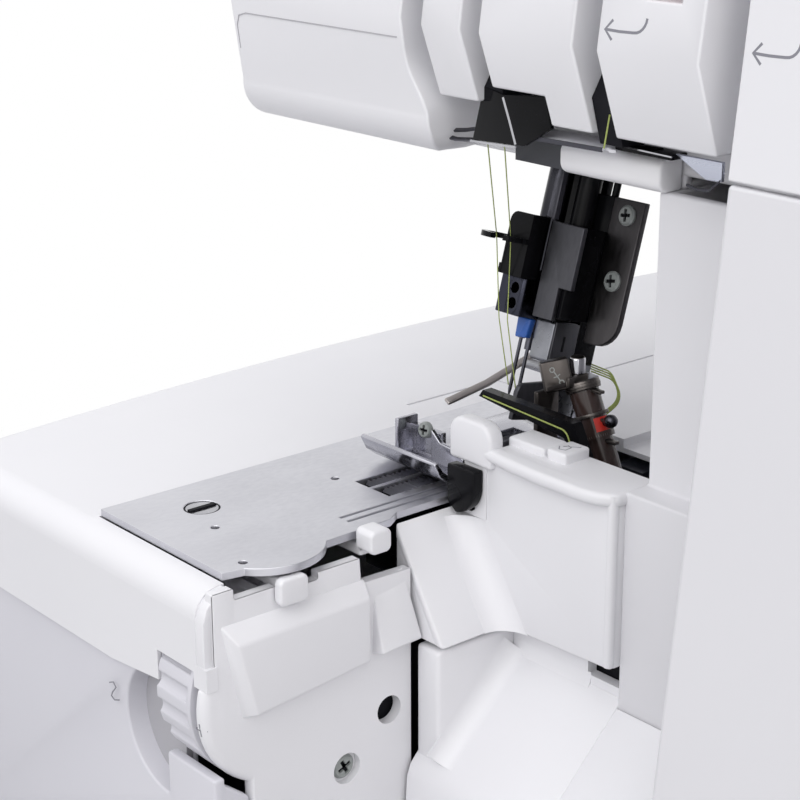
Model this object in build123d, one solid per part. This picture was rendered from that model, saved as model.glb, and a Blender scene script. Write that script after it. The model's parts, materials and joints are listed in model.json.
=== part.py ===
# Four-thread overlock sewing machine, modelled as separate pieces.
# Units are millimetres. X runs to the machine's right, Y to its back and Z up.
# The origin is the middle of the footprint, on the table.
import math
import os

from build123d import *

# Overall size
HALF_WIDTH = 170.5
HALF_DEPTH = 149.2
PLATE_TOP = 118.0
WALL = 3.0
GAP = 0.4

# Needle and presser bars lean back by the same angle and share the sewing line
LEAN = 16.0
NEEDLE_X = -53.0
NEEDLE_DROP_Y = -35.0
NEEDLE_TIP_ABOVE_PLATE = 12.5
# Each needle as (across, seat, tip), the last two up the bar's own axis
NEEDLES = ((-1.7, 43.5, NEEDLE_TIP_ABOVE_PLATE + 1.0), (1.5, 41.0, NEEDLE_TIP_ABOVE_PLATE))
NEEDLE_SHANK_RADIUS = 1.0
NEEDLE_EYE_ABOVE_TIP = 4.0
PRESSER_X = -42.0
PRESSER_FOOT_Y = -23.3
NEEDLE_BAR_RADIUS = 3.4
NEEDLE_BAR_BOTTOM = 44.5
NEEDLE_CLAMP_TOP = 46.8
PRESSER_BAR_RADIUS = 3.2
PRESSER_SPIGOT_RADIUS = 2.2
ANKLE_TOP = 34.4
# Axes of the presser bar and of its guide rod in the foot's leaning frame
PRESSER_BAR = (-3.4, -7.9)
GUIDE_ROD = (2.5, -4.0)
GUIDE_ROD_RADIUS = 1.0
# Screws of the bracket on the presser bar, in the bar's own frame
BRACKET_V = -5.2
BRACKET_SCREW_U = 10.3
BRACKET_SCREW_W = (47.7, 65.0)
BRACKET_SCREW_RADIUS = 1.5
FOOT_PIN_HEIGHT = 10.5
FOOT_PIN_RADIUS = 1.5

# Base and bed
TRAY_BOTTOM = 6.0
TRAY_TOP = 10.0
FOOT_RADIUS = 11.0
BED_TOP = 116.0
BED_FRONT = -148.0
BED_REAR = HALF_DEPTH
BED_TOP_THICK = 4.0
BED_SKIRT_BOTTOM = 86.0
BED_SKIRT_OVER_DIAL = 96.0
BED_SKIRT_STEP_X = -70.0
BED_RISER_X = -41.0
BED_FRONT_LEFT_X = -157.5
BED_WIDEST_Y = 20.0
BED_LIP_END_X = -33.2
BED_INNER_Y = -7.5
THROAT_X = 17.5

# Needle plate
PLATE_THICK = 2.0
PLATE_LEFT = -86.5
PLATE_RIGHT = -34.5
PLATE_FRONT = -139.3
PLATE_REAR = -8.5
PLATE_KNIFE_SIDE = -37.0
PLATE_SCREW = (-71.0, -119.6)
PLATE_SCREW_RADIUS = 2.4
FEED_SLOTS = ((-60.0, -54.5), (-53.2, -46.5))
FEED_FRONT_Y = (-79.5, -43.0)
FEED_REAR_Y = (-23.0, -9.5)

# Cutting-width dial, a ribbed wheel on an X axis that is the bed's foremost piece
DIAL_Y = -125.0
DIAL_Z = 86.0
DIAL_RADIUS = HALF_DEPTH + DIAL_Y
DIAL_X = (-48.8, -35.0)
DIAL_RIBS = 22
DIAL_AXLE_RADIUS = 4.0
DIAL_AXLE_LEFT = -68.0

# Column, front panel and head
COLUMN_LEFT = 18.0
COLUMN_RIGHT = 158.0
COLUMN_FRONT = -55.0
COLUMN_REAR = 62.0
STRIP_LEFT = 17.3
LEDGE_FRONT = -62.0
LEDGE_TOP = 133.5
PANEL_LEFT = 51.0
PANEL_SEAM_Z = 213.0
PANEL_SEAM_Y = -72.0
PANEL_LEAN = 6.5
HEAD_LEFT = -122.0
HEAD_BOTTOM = 203.0
HEAD_TOP = 294.0
HEAD_BACKPLATE_Y = -50.0
# Nose of the casting's arm, seen under the head
NOSE_X = (-27.0, -10.6)
NOSE_TOP = 209.0
HEAD_CAVITY_Y = -62.0
BEND_Y = -74.0
BEND_Z = 235.5
FIN_BOTTOM_Z = 216.0
FIN_BOTTOM_Y = -67.0
FIN_UPPER_LEAN = 8.0
TAKE_UP_TOP = 222.4
# Left end, right end and bottom of each fin of the head's front
FINS = ((-40.8, -27.3, FIN_BOTTOM_Z + 2.5), (-21.0, 8.6, FIN_BOTTOM_Z), (15.8, 44.2, FIN_BOTTOM_Z))
# Right wall of the head's left block, straight above and flared below
LEFT_BLOCK_RIGHT = -48.0
LEFT_BLOCK_FLARE = -42.0

# Tension wheels, one in the left block and one in each fin
TENSION_X = (-62.0, -34.0, 1.6, 33.0)
TENSION_Y = -57.0
TENSION_Z = 266.0
TENSION_RADIUS = 17.0
TENSION_WIDTH = 7.0
TENSION_PIN_RADIUS = 3.0
TENSION_WINDOW_Z = (TENSION_Z - 19.0, TENSION_Z + 18.6)
TENSION_WINDOW_HALF = TENSION_WIDTH / 2 + 1.2

# Drive, with the casting's floor slab and its two shaft walls
SLAB_TOP = 17.0
SHAFT_WALLS = ((-40.0, -30.0), (126.0, 136.0))
BUSH_RADIUS = 9.0
SHAFT_Y = 25.0
SHAFT_Z = 78.0
SHAFT_RADIUS = 6.0
SHAFT_X = (-55.0, 168.0)
HANDWHEEL_RADIUS = 40.0
PULLEY_RADIUS = 26.0
MOTOR_Y = 34.0
MOTOR_Z = 40.0
MOTOR_RADIUS = 21.0
MOTOR_PULLEY_RADIUS = 9.0
MOTOR_SHAFT_RADIUS = 4.0
BELT_X = (139.0, 145.0)
PULLEY_X = (BELT_X[0] - 1.5, BELT_X[1] + 1.5)
RUNNING_FIT = 0.05

# Loopers swing on shafts that run front to back
LOOPER_SHAFT_RADIUS = 4.0
LOOPER_HALF_THICK = 1.5
UPPER_LOOPER_PIVOT = (-30.0, 62.0)
UPPER_LOOPER_Y = -45.0
LOWER_LOOPER_PIVOT = (-58.0, 46.0)
LOWER_LOOPER_Y = -30.0
LOWER_LOOPER_TURN = 25.0

# Rocking shaft of the presser lifter, behind the arm
LIFTER_Y = 51.5
LIFTER_Z = 222.0
LIFTER_PIN_RADIUS = 3.0
LIFTER_LUGS = ((-28.0, -24.4), (-11.6, -8.0))
PRESSURE_KNOB_X = PRESSER_X + PRESSER_BAR[0]
PRESSURE_KNOB_Y = 18.5
PRESSURE_STEM_RADIUS = 4.0

# Upper knife: a tube that leans left at its top
KNIFE_TOP = (-27.6, 140.0)
KNIFE_PIVOT = (-7.4, 96.0)
KNIFE_Y = -30.0
KNIFE_TUBE_RADIUS = 3.9
KNIFE_PIN_RADIUS = 3.0

KNIFE_NECK_RIGHT = -31.2
KNIFE_NECK_Z = (115.2, 125.6)
KNIFE_TRAVEL = 3.0

# Hinge rod of the front panel
HINGE_Y = -88.5
HINGE_Z = 16.5
HINGE_RADIUS = 2.5

# Levers under the needle plate run in one slot of the casting
LEVER_STEM_Z = (111.5, 114.5)
LEVER_STEM_LEFT = -58.0

# Side panel of the bed, in front of the chute
SIDE_FACE_X = -29.5
SIDE_REAR_Y = -87.6
SIDE_FRONT_Y = -136.2

# Dials on the right side, as (y, z)
LENGTH_DIAL = (-30.0, 160.0)
DIFFERENTIAL_DIAL = (20.0, 160.0)
SIDE_DIAL_RADIUS = 15.0
SIDE_SPINDLE_RADIUS = 3.6

# Switch and mains inlet on the right side
SWITCH_Y = -36.0
SWITCH_Z = (54.6, 63.4)
INLET_Z = (22.4, 41.6)

# Thread stand
STAND_X = (-80.0, 150.0)
STAND_Y = (66.0, 149.0)
STAND_TOP = 121.0
POLE_X = 35.0
POLE_Y = 72.0
POLE_RADIUS = 4.5
POLE_WALL = 1.0
POLE_TUBE_TOP = 290.0
SPOOL_PIN_X = (-52.0, 6.0, 64.0, 122.0)
SPOOL_PIN_Y = 116.0
GUIDE_Z = 300.0
THREAD_RADIUS = 0.2
# Where the needle threads run through the hook, in the needle bar's own frame
HOOK_CENTRE = (-2.0, -14.2, 56.2)


def block(x0, x1, y0, y1, z0, z1):
    """A box between two corners."""
    middle = Pos((x0 + x1) / 2, (y0 + y1) / 2, (z0 + z1) / 2)
    return middle * Box(x1 - x0, y1 - y0, z1 - z0)


def rod_x(x0, x1, y, z, radius):
    return Pos((x0 + x1) / 2, y, z) * Rot(0, 90, 0) * Cylinder(radius, x1 - x0)


def rod_y(x, y0, y1, z, radius):
    return Pos(x, (y0 + y1) / 2, z) * Rot(90, 0, 0) * Cylinder(radius, y1 - y0)


def rod_z(x, y, z0, z1, radius):
    return Pos(x, y, (z0 + z1) / 2) * Cylinder(radius, z1 - z0)


def prism_x(points, x0, x1):
    """A closed (y, z) outline drawn out along X."""
    return extrude(Plane.YZ.offset(x0) * make_face(Polyline(*points, close=True)), x1 - x0)


def prism_y(points, y0, y1):
    """A closed (x, z) outline drawn out along +Y."""
    outline = Plane.XZ.offset(-y1) * make_face(Polyline(*points, close=True))
    return extrude(outline, y1 - y0)


def turned_about_x(y, z, count, shape):
    """Copies of a shape, evenly turned about an X axis."""
    there, back = Pos(0, y, z), Pos(0, -y, -z)
    return [there * Rot(360 * i / count, 0, 0) * back * shape for i in range(count)]


def outline_x(points, x):
    """A closed (y, z) outline as a face at one X."""
    return Plane.YZ.offset(x) * make_face(Polyline(*points, close=True))


def plan(edges, z0, z1):
    """A closed outline in plan drawn out along Z."""
    return extrude(Plane.XY.offset(z0) * make_face(edges), z1 - z0)


def join(pieces):
    """Several separate solids as one group."""
    return Compound(children=[solid for piece in pieces for solid in piece.solids()])


def leaning(x, y):
    """A frame on the needle plate whose Z axis leans back with the bars."""
    return Location((x, y, PLATE_TOP), (-LEAN, 0, 0))


NEEDLE = leaning(NEEDLE_X, NEEDLE_DROP_Y)
PRESSER = leaning(PRESSER_X, PRESSER_FOOT_Y)


FOOT_PIN_Y = PRESSER_FOOT_Y + FOOT_PIN_HEIGHT * math.sin(math.radians(LEAN))
FOOT_PIN_Z = PLATE_TOP + FOOT_PIN_HEIGHT * math.cos(math.radians(LEAN))


def panel_y(z):
    """Front face of the right-hand panel, which leans back towards its top."""
    return PANEL_SEAM_Y + (z - PANEL_SEAM_Z) * math.tan(math.radians(PANEL_LEAN))


def fin_top_y(z):
    """Front face of the fins above their bend."""
    return BEND_Y + (z - BEND_Z) * math.tan(math.radians(FIN_UPPER_LEAN))


def base_tray():
    front, step_front, rear = -147, -93, 147
    left, rear_left, step, right = -155, -160, -31, 154
    vent_count, vent_pitch, vent_width = 9, 9, 4
    front_corners = [(left, front), (step, front), (step, step_front), (right, step_front)]
    tray = plan(Polyline(*front_corners, (right, rear), (rear_left, rear), close=True), TRAY_BOTTOM, TRAY_TOP)
    for i in range(vent_count):
        x = 20 + vent_pitch * i
        tray -= block(x, x + vent_width, 66, 96, TRAY_BOTTOM - 1, TRAY_TOP + 1)
    # Front sill below the panel, with lugs for the panel's hinge rod
    sill_front, sill_rear, sill_top = -80, -76, 22
    tray += block(PANEL_LEFT + GAP, COLUMN_RIGHT - WALL - GAP, sill_front, sill_rear, TRAY_TOP - 1, sill_top)
    for x0, x1 in ((82, 90), (120, 128)):
        lug = block(x0, x1, HINGE_Y - 4, sill_rear, TRAY_TOP - 1, HINGE_Z + 4)
        tray += lug - rod_x(x0 - 1, x1 + 1, HINGE_Y, HINGE_Z, HINGE_RADIUS + RUNNING_FIT)
    return tray


def rubber_feet():
    places = [(-128, -116), (128, -66), (-128, 122), (128, 122)]
    return join([rod_z(x, y, 0, TRAY_BOTTOM, FOOT_RADIUS) for x, y in places])


def bed_outline(inset, reach):
    """Plan of the bed; reach carries the inner sides past their outline."""
    front = BED_FRONT + inset
    rear = BED_REAR - inset
    start = (BED_FRONT_LEFT_X + inset, front)
    rise = BED_FRONT_LEFT_X + HALF_WIDTH
    bow_radius = (rise**2 + (BED_FRONT - BED_WIDEST_Y) ** 2) / (2 * rise)
    bow = (-HALF_WIDTH + inset, BED_WIDEST_Y)
    fall = bow_radius - math.sqrt(bow_radius**2 - (BED_REAR - BED_WIDEST_Y) ** 2)
    end = (-HALF_WIDTH + fall + inset, rear)
    right = COLUMN_RIGHT - inset
    inner = [
        end,
        (right, rear),
        (right, COLUMN_REAR + GAP - reach),
        (THROAT_X + reach, COLUMN_REAR + GAP - reach),
        (THROAT_X + reach, BED_INNER_Y - reach),
        (BED_LIP_END_X + reach, BED_INNER_Y - reach),
        (BED_LIP_END_X + reach, front),
        start,
    ]
    return [ThreePointArc(start, bow, end), Polyline(*inner)]


def bed_cover():
    shell = plan(bed_outline(0, 0), TRAY_TOP, BED_TOP)
    top_edges = shell.edges().filter_by_position(Axis.Z, BED_TOP - 0.1, BED_TOP + 0.1)
    front_edge = top_edges.filter_by(Axis.X).sort_by(Axis.Y)[0]
    left_edge = top_edges.filter_by(GeomType.CIRCLE)[0]
    shell = fillet([front_edge, left_edge], 7)
    shell -= plan(bed_outline(WALL, 5), TRAY_TOP - 1, BED_TOP - BED_TOP_THICK)
    # The skirt's lower edge steps up over the dial
    skirt_back, panel_left = BED_FRONT + 8, -154
    shell -= block(panel_left, BED_SKIRT_STEP_X, BED_FRONT - 1, skirt_back, TRAY_TOP - 1, BED_SKIRT_BOTTOM)
    shell -= block(BED_SKIRT_STEP_X, 0, BED_FRONT - 1, skirt_back, TRAY_TOP - 1, BED_SKIRT_OVER_DIAL)
    shell -= block(PLATE_LEFT - GAP, 0, PLATE_FRONT - GAP, 0, 90, BED_TOP + 1)
    # Low ground right of the riser, towards the throat, and the seams of the bed's loose lid
    shell -= block(BED_RISER_X, THROAT_X + 1, BED_INNER_Y - 20, 36, BED_TOP - 2.5, BED_TOP + 1)
    lid_left, lid_rear, lid_front, seam_depth, seam_x = -103, 9, -26, 0.8, -89.5
    shell -= block(lid_left, lid_left + 1, lid_front, lid_rear, BED_TOP - seam_depth, BED_TOP + 1)
    shell -= block(lid_left, seam_x, lid_rear, lid_rear + 1, BED_TOP - seam_depth, BED_TOP + 1)
    shell -= block(seam_x, seam_x + 1, lid_rear, 64, BED_TOP - seam_depth, BED_TOP + 1)
    clear = 0.5
    shell -= rod_x(DIAL_X[0] - clear, DIAL_X[1] + clear, DIAL_Y, DIAL_Z, DIAL_RADIUS + clear)
    # Foot of the skirt's end, which hooks round the side panel
    hook_left, hook_right, hook_bottom, hook_top = DIAL_X[1] + clear, -29.2, 92.2, 98
    return shell + block(hook_left, hook_right, BED_FRONT, BED_FRONT + WALL, hook_bottom, hook_top)


def bed_front_panel():
    front = BED_FRONT + 1.2
    back = front + WALL
    left, right = -153.5, DIAL_X[0] - GAP
    face = block(left, right, front, back, TRAY_TOP, BED_SKIRT_BOTTOM - GAP)
    face += block(BED_SKIRT_STEP_X + GAP, right, front, back, TRAY_TOP, BED_SKIRT_OVER_DIAL - GAP)
    # Finger scoop beside the dial
    scoop_x, scoop_z, scoop_radius, scoop_depth, scoop_wall = -50, 74, 18, 9, 1.5
    face -= rod_y(scoop_x, front - 1, back + 1, scoop_z, scoop_radius)
    cup = rod_y(scoop_x, front, front + scoop_depth, scoop_z, scoop_radius)
    cup -= rod_y(scoop_x, front - 1, front + scoop_depth - scoop_wall, scoop_z, scoop_radius - scoop_wall)
    cup -= block(right, 0, BED_FRONT - 1, 0, 0, BED_TOP)
    # Below the dial the panel runs on to the corner and round it
    lower_top, return_end = 69, SIDE_FRONT_Y - 0.8
    lower = block(right, SIDE_FACE_X, front, back, TRAY_TOP, lower_top)
    slant = [(front, lower_top), (-141.5, 65.2), (return_end, 61.6), (return_end, TRAY_TOP), (front, TRAY_TOP)]
    return face + cup + lower + prism_x(slant, SIDE_FACE_X - WALL, SIDE_FACE_X)


def bed_side_panel():
    inner_x, lip_y = SIDE_FACE_X - WALL, BED_FRONT + WALL + 0.6
    top, post_top, post_rear, shoulder_y, shoulder_top = 113, 115.8, -139.6, -102.6, 106
    wall = block(inner_x, SIDE_FACE_X, SIDE_FRONT_Y, shoulder_y, TRAY_TOP, top)
    wall += block(inner_x, SIDE_FACE_X, shoulder_y, SIDE_REAR_Y, TRAY_TOP, shoulder_top)
    # Round front end beside the dial, with a post up to the bed cover's lip
    disc = rod_x(inner_x, SIDE_FACE_X, DIAL_Y, DIAL_Z, DIAL_RADIUS)
    disc = fillet(disc.edges().sort_by(Axis.X)[-1], 2.4)
    wall += disc - block(inner_x - 1, SIDE_FACE_X + 1, BED_FRONT - 2, lip_y, 91.6, BED_TOP)
    wall += block(inner_x, SIDE_FACE_X, lip_y, SIDE_FRONT_Y, 98, top)
    wall += block(inner_x, SIDE_FACE_X, lip_y, post_rear, top, post_top)
    pad_foot = [(-136, 82), (-100.5, 82), (-100.5, 104.5), (-144, 108)]
    pad_face = [(-133.5, 82.6), (-101, 82.6), (-101, 100), (-139.5, 101)]
    pad = loft([outline_x(pad_foot, SIDE_FACE_X), outline_x(pad_face, SIDE_FACE_X + 3.5)], ruled=True)
    small_foot = [(-99.6, 85.5), (-88, 84), (-88, 105.5), (-99.6, 105.5)]
    small_face = [(-98.2, 86), (-88, 84.5), (-88, 88), (-98.2, 89.5)]
    small = loft([outline_x(small_foot, SIDE_FACE_X), outline_x(small_face, SIDE_FACE_X + 4)], ruled=True)
    panel = wall + pad + small
    hole_y, hole_z, hole_radius = -94.3, 70.1, 3.2
    screw_y, screw_z, sink_radius, sink_depth, screw_radius = -108.4, 58.8, 4.2, 2.4, 1.6
    panel -= rod_x(inner_x - 1, SIDE_FACE_X + 1, hole_y, hole_z, hole_radius)
    panel -= rod_x(SIDE_FACE_X - sink_depth, SIDE_FACE_X + 1, screw_y, screw_z, sink_radius)
    panel -= rod_x(inner_x - 1, SIDE_FACE_X + 1, screw_y, screw_z, screw_radius)
    # Notch that the front lever's stem travels in
    return panel - block(inner_x - 1, SIDE_FACE_X + 1, -127.6, -115.4, LEVER_STEM_Z[0] - GAP, BED_TOP)


def plate_outline():
    """Plan of the needle plate, with a round bulge over the front lever."""
    bulge_start, bulge_tip, bulge_end = (-33.4, -133.7), (-27.6, -121.6), (-33.8, -109.5)
    sides = [
        bulge_end,
        (PLATE_RIGHT, -89),
        (PLATE_KNIFE_SIDE, -85),
        (PLATE_KNIFE_SIDE, PLATE_REAR),
        (PLATE_LEFT, PLATE_REAR),
        (PLATE_LEFT, PLATE_FRONT),
        (PLATE_RIGHT, PLATE_FRONT),
        bulge_start,
    ]
    return [Polyline(*sides), ThreePointArc(bulge_start, bulge_tip, bulge_end)]


def needle_plate():
    bottom = PLATE_TOP - PLATE_THICK
    below, above = bottom - 1, PLATE_TOP + 1
    plate = plan(plate_outline(), bottom, PLATE_TOP)
    for x0, x1 in FEED_SLOTS:
        plate -= block(x0, x1, *FEED_FRONT_Y, below, above)
        plate -= block(x0, x1, *FEED_REAR_Y, below, above)
    plate -= block(NEEDLE_X - 4.5, NEEDLE_X + 4.5, -42.5, -26, below, above)
    slit_width, slit_depth, dot_radius = 0.9, 0.8, 1.1
    for x in (-43.5, -40.5):
        plate -= block(x, x + slit_width, -98, -55, PLATE_TOP - slit_depth, above)
    for x, y in ((-58.1, -124.6), (-65.2, -82.1), (-36.4, -131.9)):
        plate -= rod_z(x, y, below, above, dot_radius)
    x, y = PLATE_SCREW
    sink = Pos(x, y, PLATE_TOP - 1.0) * Cone(3.7, 4.7, PLATE_THICK)
    return plate - sink - rod_z(x, y, below, PLATE_TOP, 2.7)


def needle_plate_screw():
    x, y = PLATE_SCREW
    head = Pos(x, y, PLATE_TOP - 1.0) * Cone(3.2, 4.2, 1.6)
    shank = rod_z(x, y, 107.5, PLATE_TOP - 1.6, PLATE_SCREW_RADIUS)
    slot_half, slot_depth = 0.6, 0.9
    slot = block(x - slot_half, x + slot_half, y - 5, y + 5, PLATE_TOP - slot_depth, PLATE_TOP + 1)
    return head + shank - slot


def feed_dog(y0, y1):
    """Two toothed rails on one carrier bar, below the plate's slots."""
    pitch, end_clear, side_clear = 1.6, 2.6, 0.6
    carrier_bottom, carrier_top, root, tip = 95, 101, PLATE_TOP - 1.4, PLATE_TOP - 0.3
    low, high = y0 + end_clear, y1 - end_clear
    left, right = FEED_SLOTS[0][0] + side_clear, FEED_SLOTS[1][1] - side_clear
    dog = block(left, right, low, high, carrier_bottom, carrier_top)
    for x0, x1 in FEED_SLOTS:
        rail_left, rail_right = x0 + side_clear, x1 - side_clear
        dog += block(rail_left, rail_right, low, high, carrier_top, root + 0.2)
        for i in range(int((high - low) / pitch)):
            y = low + i * pitch
            tooth = [(y, root), (y + 0.9 * pitch, root), (y + 0.7 * pitch, tip)]
            dog += prism_x(tooth, rail_left, rail_right)
    return dog


def cutting_width_dial():
    x0, x1 = DIAL_X
    wheel = rod_x(x0, x1, DIAL_Y, DIAL_Z, DIAL_RADIUS)
    groove_radius, groove_out, plain_rim = 2.3, 1.1, 1.5
    groove = rod_x(x0 - 1, x1 - plain_rim, DIAL_Y, DIAL_Z + DIAL_RADIUS + groove_out, groove_radius)
    wheel -= turned_about_x(DIAL_Y, DIAL_Z, DIAL_RIBS, groove)
    return wheel + rod_x(DIAL_AXLE_LEFT, x0, DIAL_Y, DIAL_Z, DIAL_AXLE_RADIUS)


def lever(cap_y, cap_z, cap_x, stem_y):
    """A rounded finger cap on a flat stem, each span as (low, high)."""
    cap = block(*cap_x, *cap_y, *cap_z)
    cap = fillet(cap.edges().filter_by(Axis.X), 1.6)
    return cap + block(LEVER_STEM_LEFT, cap_x[0], *stem_y, *LEVER_STEM_Z)


def stitch_finger_lever():
    return lever((-128.6, -120.4), (108.6, 115.4), (-29.2, -26.4), (-127, -122))


def knife_release_lever():
    return lever((-101.4, -95.0), (113.8, 119.8), (-33.0, -26.8), (-100, -96.4))


def bed_bridge():
    """The casting's bridge under the needle plate, with its posts and the lever slot."""
    left, right, front, rear, bottom = PLATE_LEFT + 1, -64, -136, -10, 104
    bridge = block(left, right, front, rear, bottom, BED_TOP)
    bridge += block(left, -50, front, -106, bottom, BED_TOP)
    bridge -= block(-80, -20, -130.5, -92, LEVER_STEM_Z[0] - GAP, LEVER_STEM_Z[1] + GAP)
    bridge += block(-84, -68, -134, -112, TRAY_TOP, bottom) + block(-84, -66, -26, rear, SLAB_TOP, bottom)
    bridge += block(-84, -66, -134, -50, TRAY_TOP, SLAB_TOP)
    # Bearing of the dial's axle
    bridge += block(-70, -61, DIAL_Y - 7, DIAL_Y + 7, DIAL_Z - 7, DIAL_Z + 7)
    bridge -= rod_x(DIAL_AXLE_LEFT, -50, DIAL_Y, DIAL_Z, DIAL_AXLE_RADIUS + RUNNING_FIT)
    return bridge - rod_z(*PLATE_SCREW, 105, BED_TOP + 1, PLATE_SCREW_RADIUS)


def sewing_arm():
    """The casting's arm, bored for both leaning bars, with its nose and the lifter's lugs."""
    bottom, top = 206, 250
    arm = block(-70, 58, -18, 44, bottom, top)
    arm -= NEEDLE * Cylinder(NEEDLE_BAR_RADIUS + RUNNING_FIT, 400)
    arm -= PRESSER * Pos(*PRESSER_BAR) * Cylinder(PRESSER_BAR_RADIUS + RUNNING_FIT, 400)
    arm -= PRESSER * Pos(*GUIDE_ROD) * Cylinder(GUIDE_ROD_RADIUS + GAP, 400)
    arm += block(*NOSE_X, -56, -16, HEAD_BOTTOM + 0.5, NOSE_TOP)
    for x0, x1 in LIFTER_LUGS:
        lug = block(x0, x1, 42, 57, LIFTER_Z - 6, LIFTER_Z + 6)
        arm += lug - rod_x(x0 - 1, x1 + 1, LIFTER_Y, LIFTER_Z, LIFTER_PIN_RADIUS + RUNNING_FIT)
    return arm + block(28, 58, -4, 50, SLAB_TOP, bottom)


def frame_casting():
    casting = block(-140, 136, -54, 138, TRAY_TOP, SLAB_TOP) + bed_bridge() + sewing_arm()
    for x0, x1 in SHAFT_WALLS:
        casting += block(x0, x1, -4, 58, SLAB_TOP, 110)
    # Wall that carries the loopers' shafts and the stud of the upper knife
    wall_front, wall_rear = -8, -4
    casting += block(-70, 8, wall_front, wall_rear, SLAB_TOP, 102)
    casting += rod_y(KNIFE_PIVOT[0], -40, wall_rear, KNIFE_PIVOT[1], KNIFE_PIN_RADIUS)
    for x, z in (UPPER_LOOPER_PIVOT, LOWER_LOOPER_PIVOT):
        casting -= rod_y(x, wall_front - 1, wall_rear + 1, z, LOOPER_SHAFT_RADIUS + RUNNING_FIT)
    casting -= rod_x(-60, 150, SHAFT_Y, SHAFT_Z, BUSH_RADIUS)
    return casting - rod_x(124, 138, MOTOR_Y, MOTOR_Z, MOTOR_SHAFT_RADIUS + 3)


def shaft_bushes():
    bushes = []
    for x0, x1 in SHAFT_WALLS:
        bore = rod_x(x0, x1, SHAFT_Y, SHAFT_Z, SHAFT_RADIUS + RUNNING_FIT)
        bushes.append(rod_x(x0, x1, SHAFT_Y, SHAFT_Z, BUSH_RADIUS) - bore)
    return join(bushes)


def main_shaft():
    """Main shaft with the driven pulley pressed on."""
    shaft = rod_x(*SHAFT_X, SHAFT_Y, SHAFT_Z, SHAFT_RADIUS)
    return shaft + rod_x(*PULLEY_X, SHAFT_Y, SHAFT_Z, PULLEY_RADIUS)


def handwheel():
    x0, x1 = COLUMN_RIGHT + 1, HALF_WIDTH
    rim, dish, hub_radius = 9, 5, 13
    wheel = rod_x(x0, x1, SHAFT_Y, SHAFT_Z, HANDWHEEL_RADIUS)
    wheel -= rod_x(x1 - dish, x1 + 1, SHAFT_Y, SHAFT_Z, HANDWHEEL_RADIUS - rim)
    wheel += rod_x(x0, x1 - 1, SHAFT_Y, SHAFT_Z, hub_radius)
    flute_count, flute_out, flute_radius = 32, 2.2, 3.4
    flute = rod_x(x0 - 1, x1 + 1, SHAFT_Y, SHAFT_Z + HANDWHEEL_RADIUS + flute_out, flute_radius)
    wheel -= turned_about_x(SHAFT_Y, SHAFT_Z, flute_count, flute)
    return wheel - rod_x(x0 - 1, SHAFT_X[1], SHAFT_Y, SHAFT_Z, SHAFT_RADIUS)


def motor():
    x0, x1 = 64, 122
    bore = rod_x(x0 - 1, x1 + 1, MOTOR_Y, MOTOR_Z, MOTOR_SHAFT_RADIUS)
    can = rod_x(x0, x1, MOTOR_Y, MOTOR_Z, MOTOR_RADIUS)
    cradle = block(x0 + 10, x1 - 10, MOTOR_Y - 14, MOTOR_Y + 14, SLAB_TOP, 28)
    return can + cradle - bore


def motor_pulley():
    wheel = rod_x(*PULLEY_X, MOTOR_Y, MOTOR_Z, MOTOR_PULLEY_RADIUS)
    return wheel + rod_x(66, PULLEY_X[0], MOTOR_Y, MOTOR_Z, MOTOR_SHAFT_RADIUS - RUNNING_FIT)


def belt_loop(extra, x0, x1):
    """A band around the two pulleys, as wide as its tangent lines."""
    far, near = (SHAFT_Y, SHAFT_Z), (MOTOR_Y, MOTOR_Z)
    big, small = PULLEY_RADIUS + extra, MOTOR_PULLEY_RADIUS + extra
    reach = math.dist(far, near)
    along = math.atan2(near[1] - far[1], near[0] - far[0])
    spread = math.acos((big - small) / reach)
    corners = []
    for centre, radius, side in ((far, big, 1), (near, small, 1), (near, small, -1), (far, big, -1)):
        angle = along + side * spread
        corners.append((centre[0] + radius * math.cos(angle), centre[1] + radius * math.sin(angle)))
    body = prism_x(corners, x0, x1)
    body += rod_x(x0, x1, *far, big)
    body += rod_x(x0, x1, *near, small)
    return body


def drive_belt():
    clear, thick = 0.3, 2.0
    return belt_loop(clear + thick, *BELT_X) - belt_loop(clear, BELT_X[0] - 1, BELT_X[1] + 1)


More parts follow.
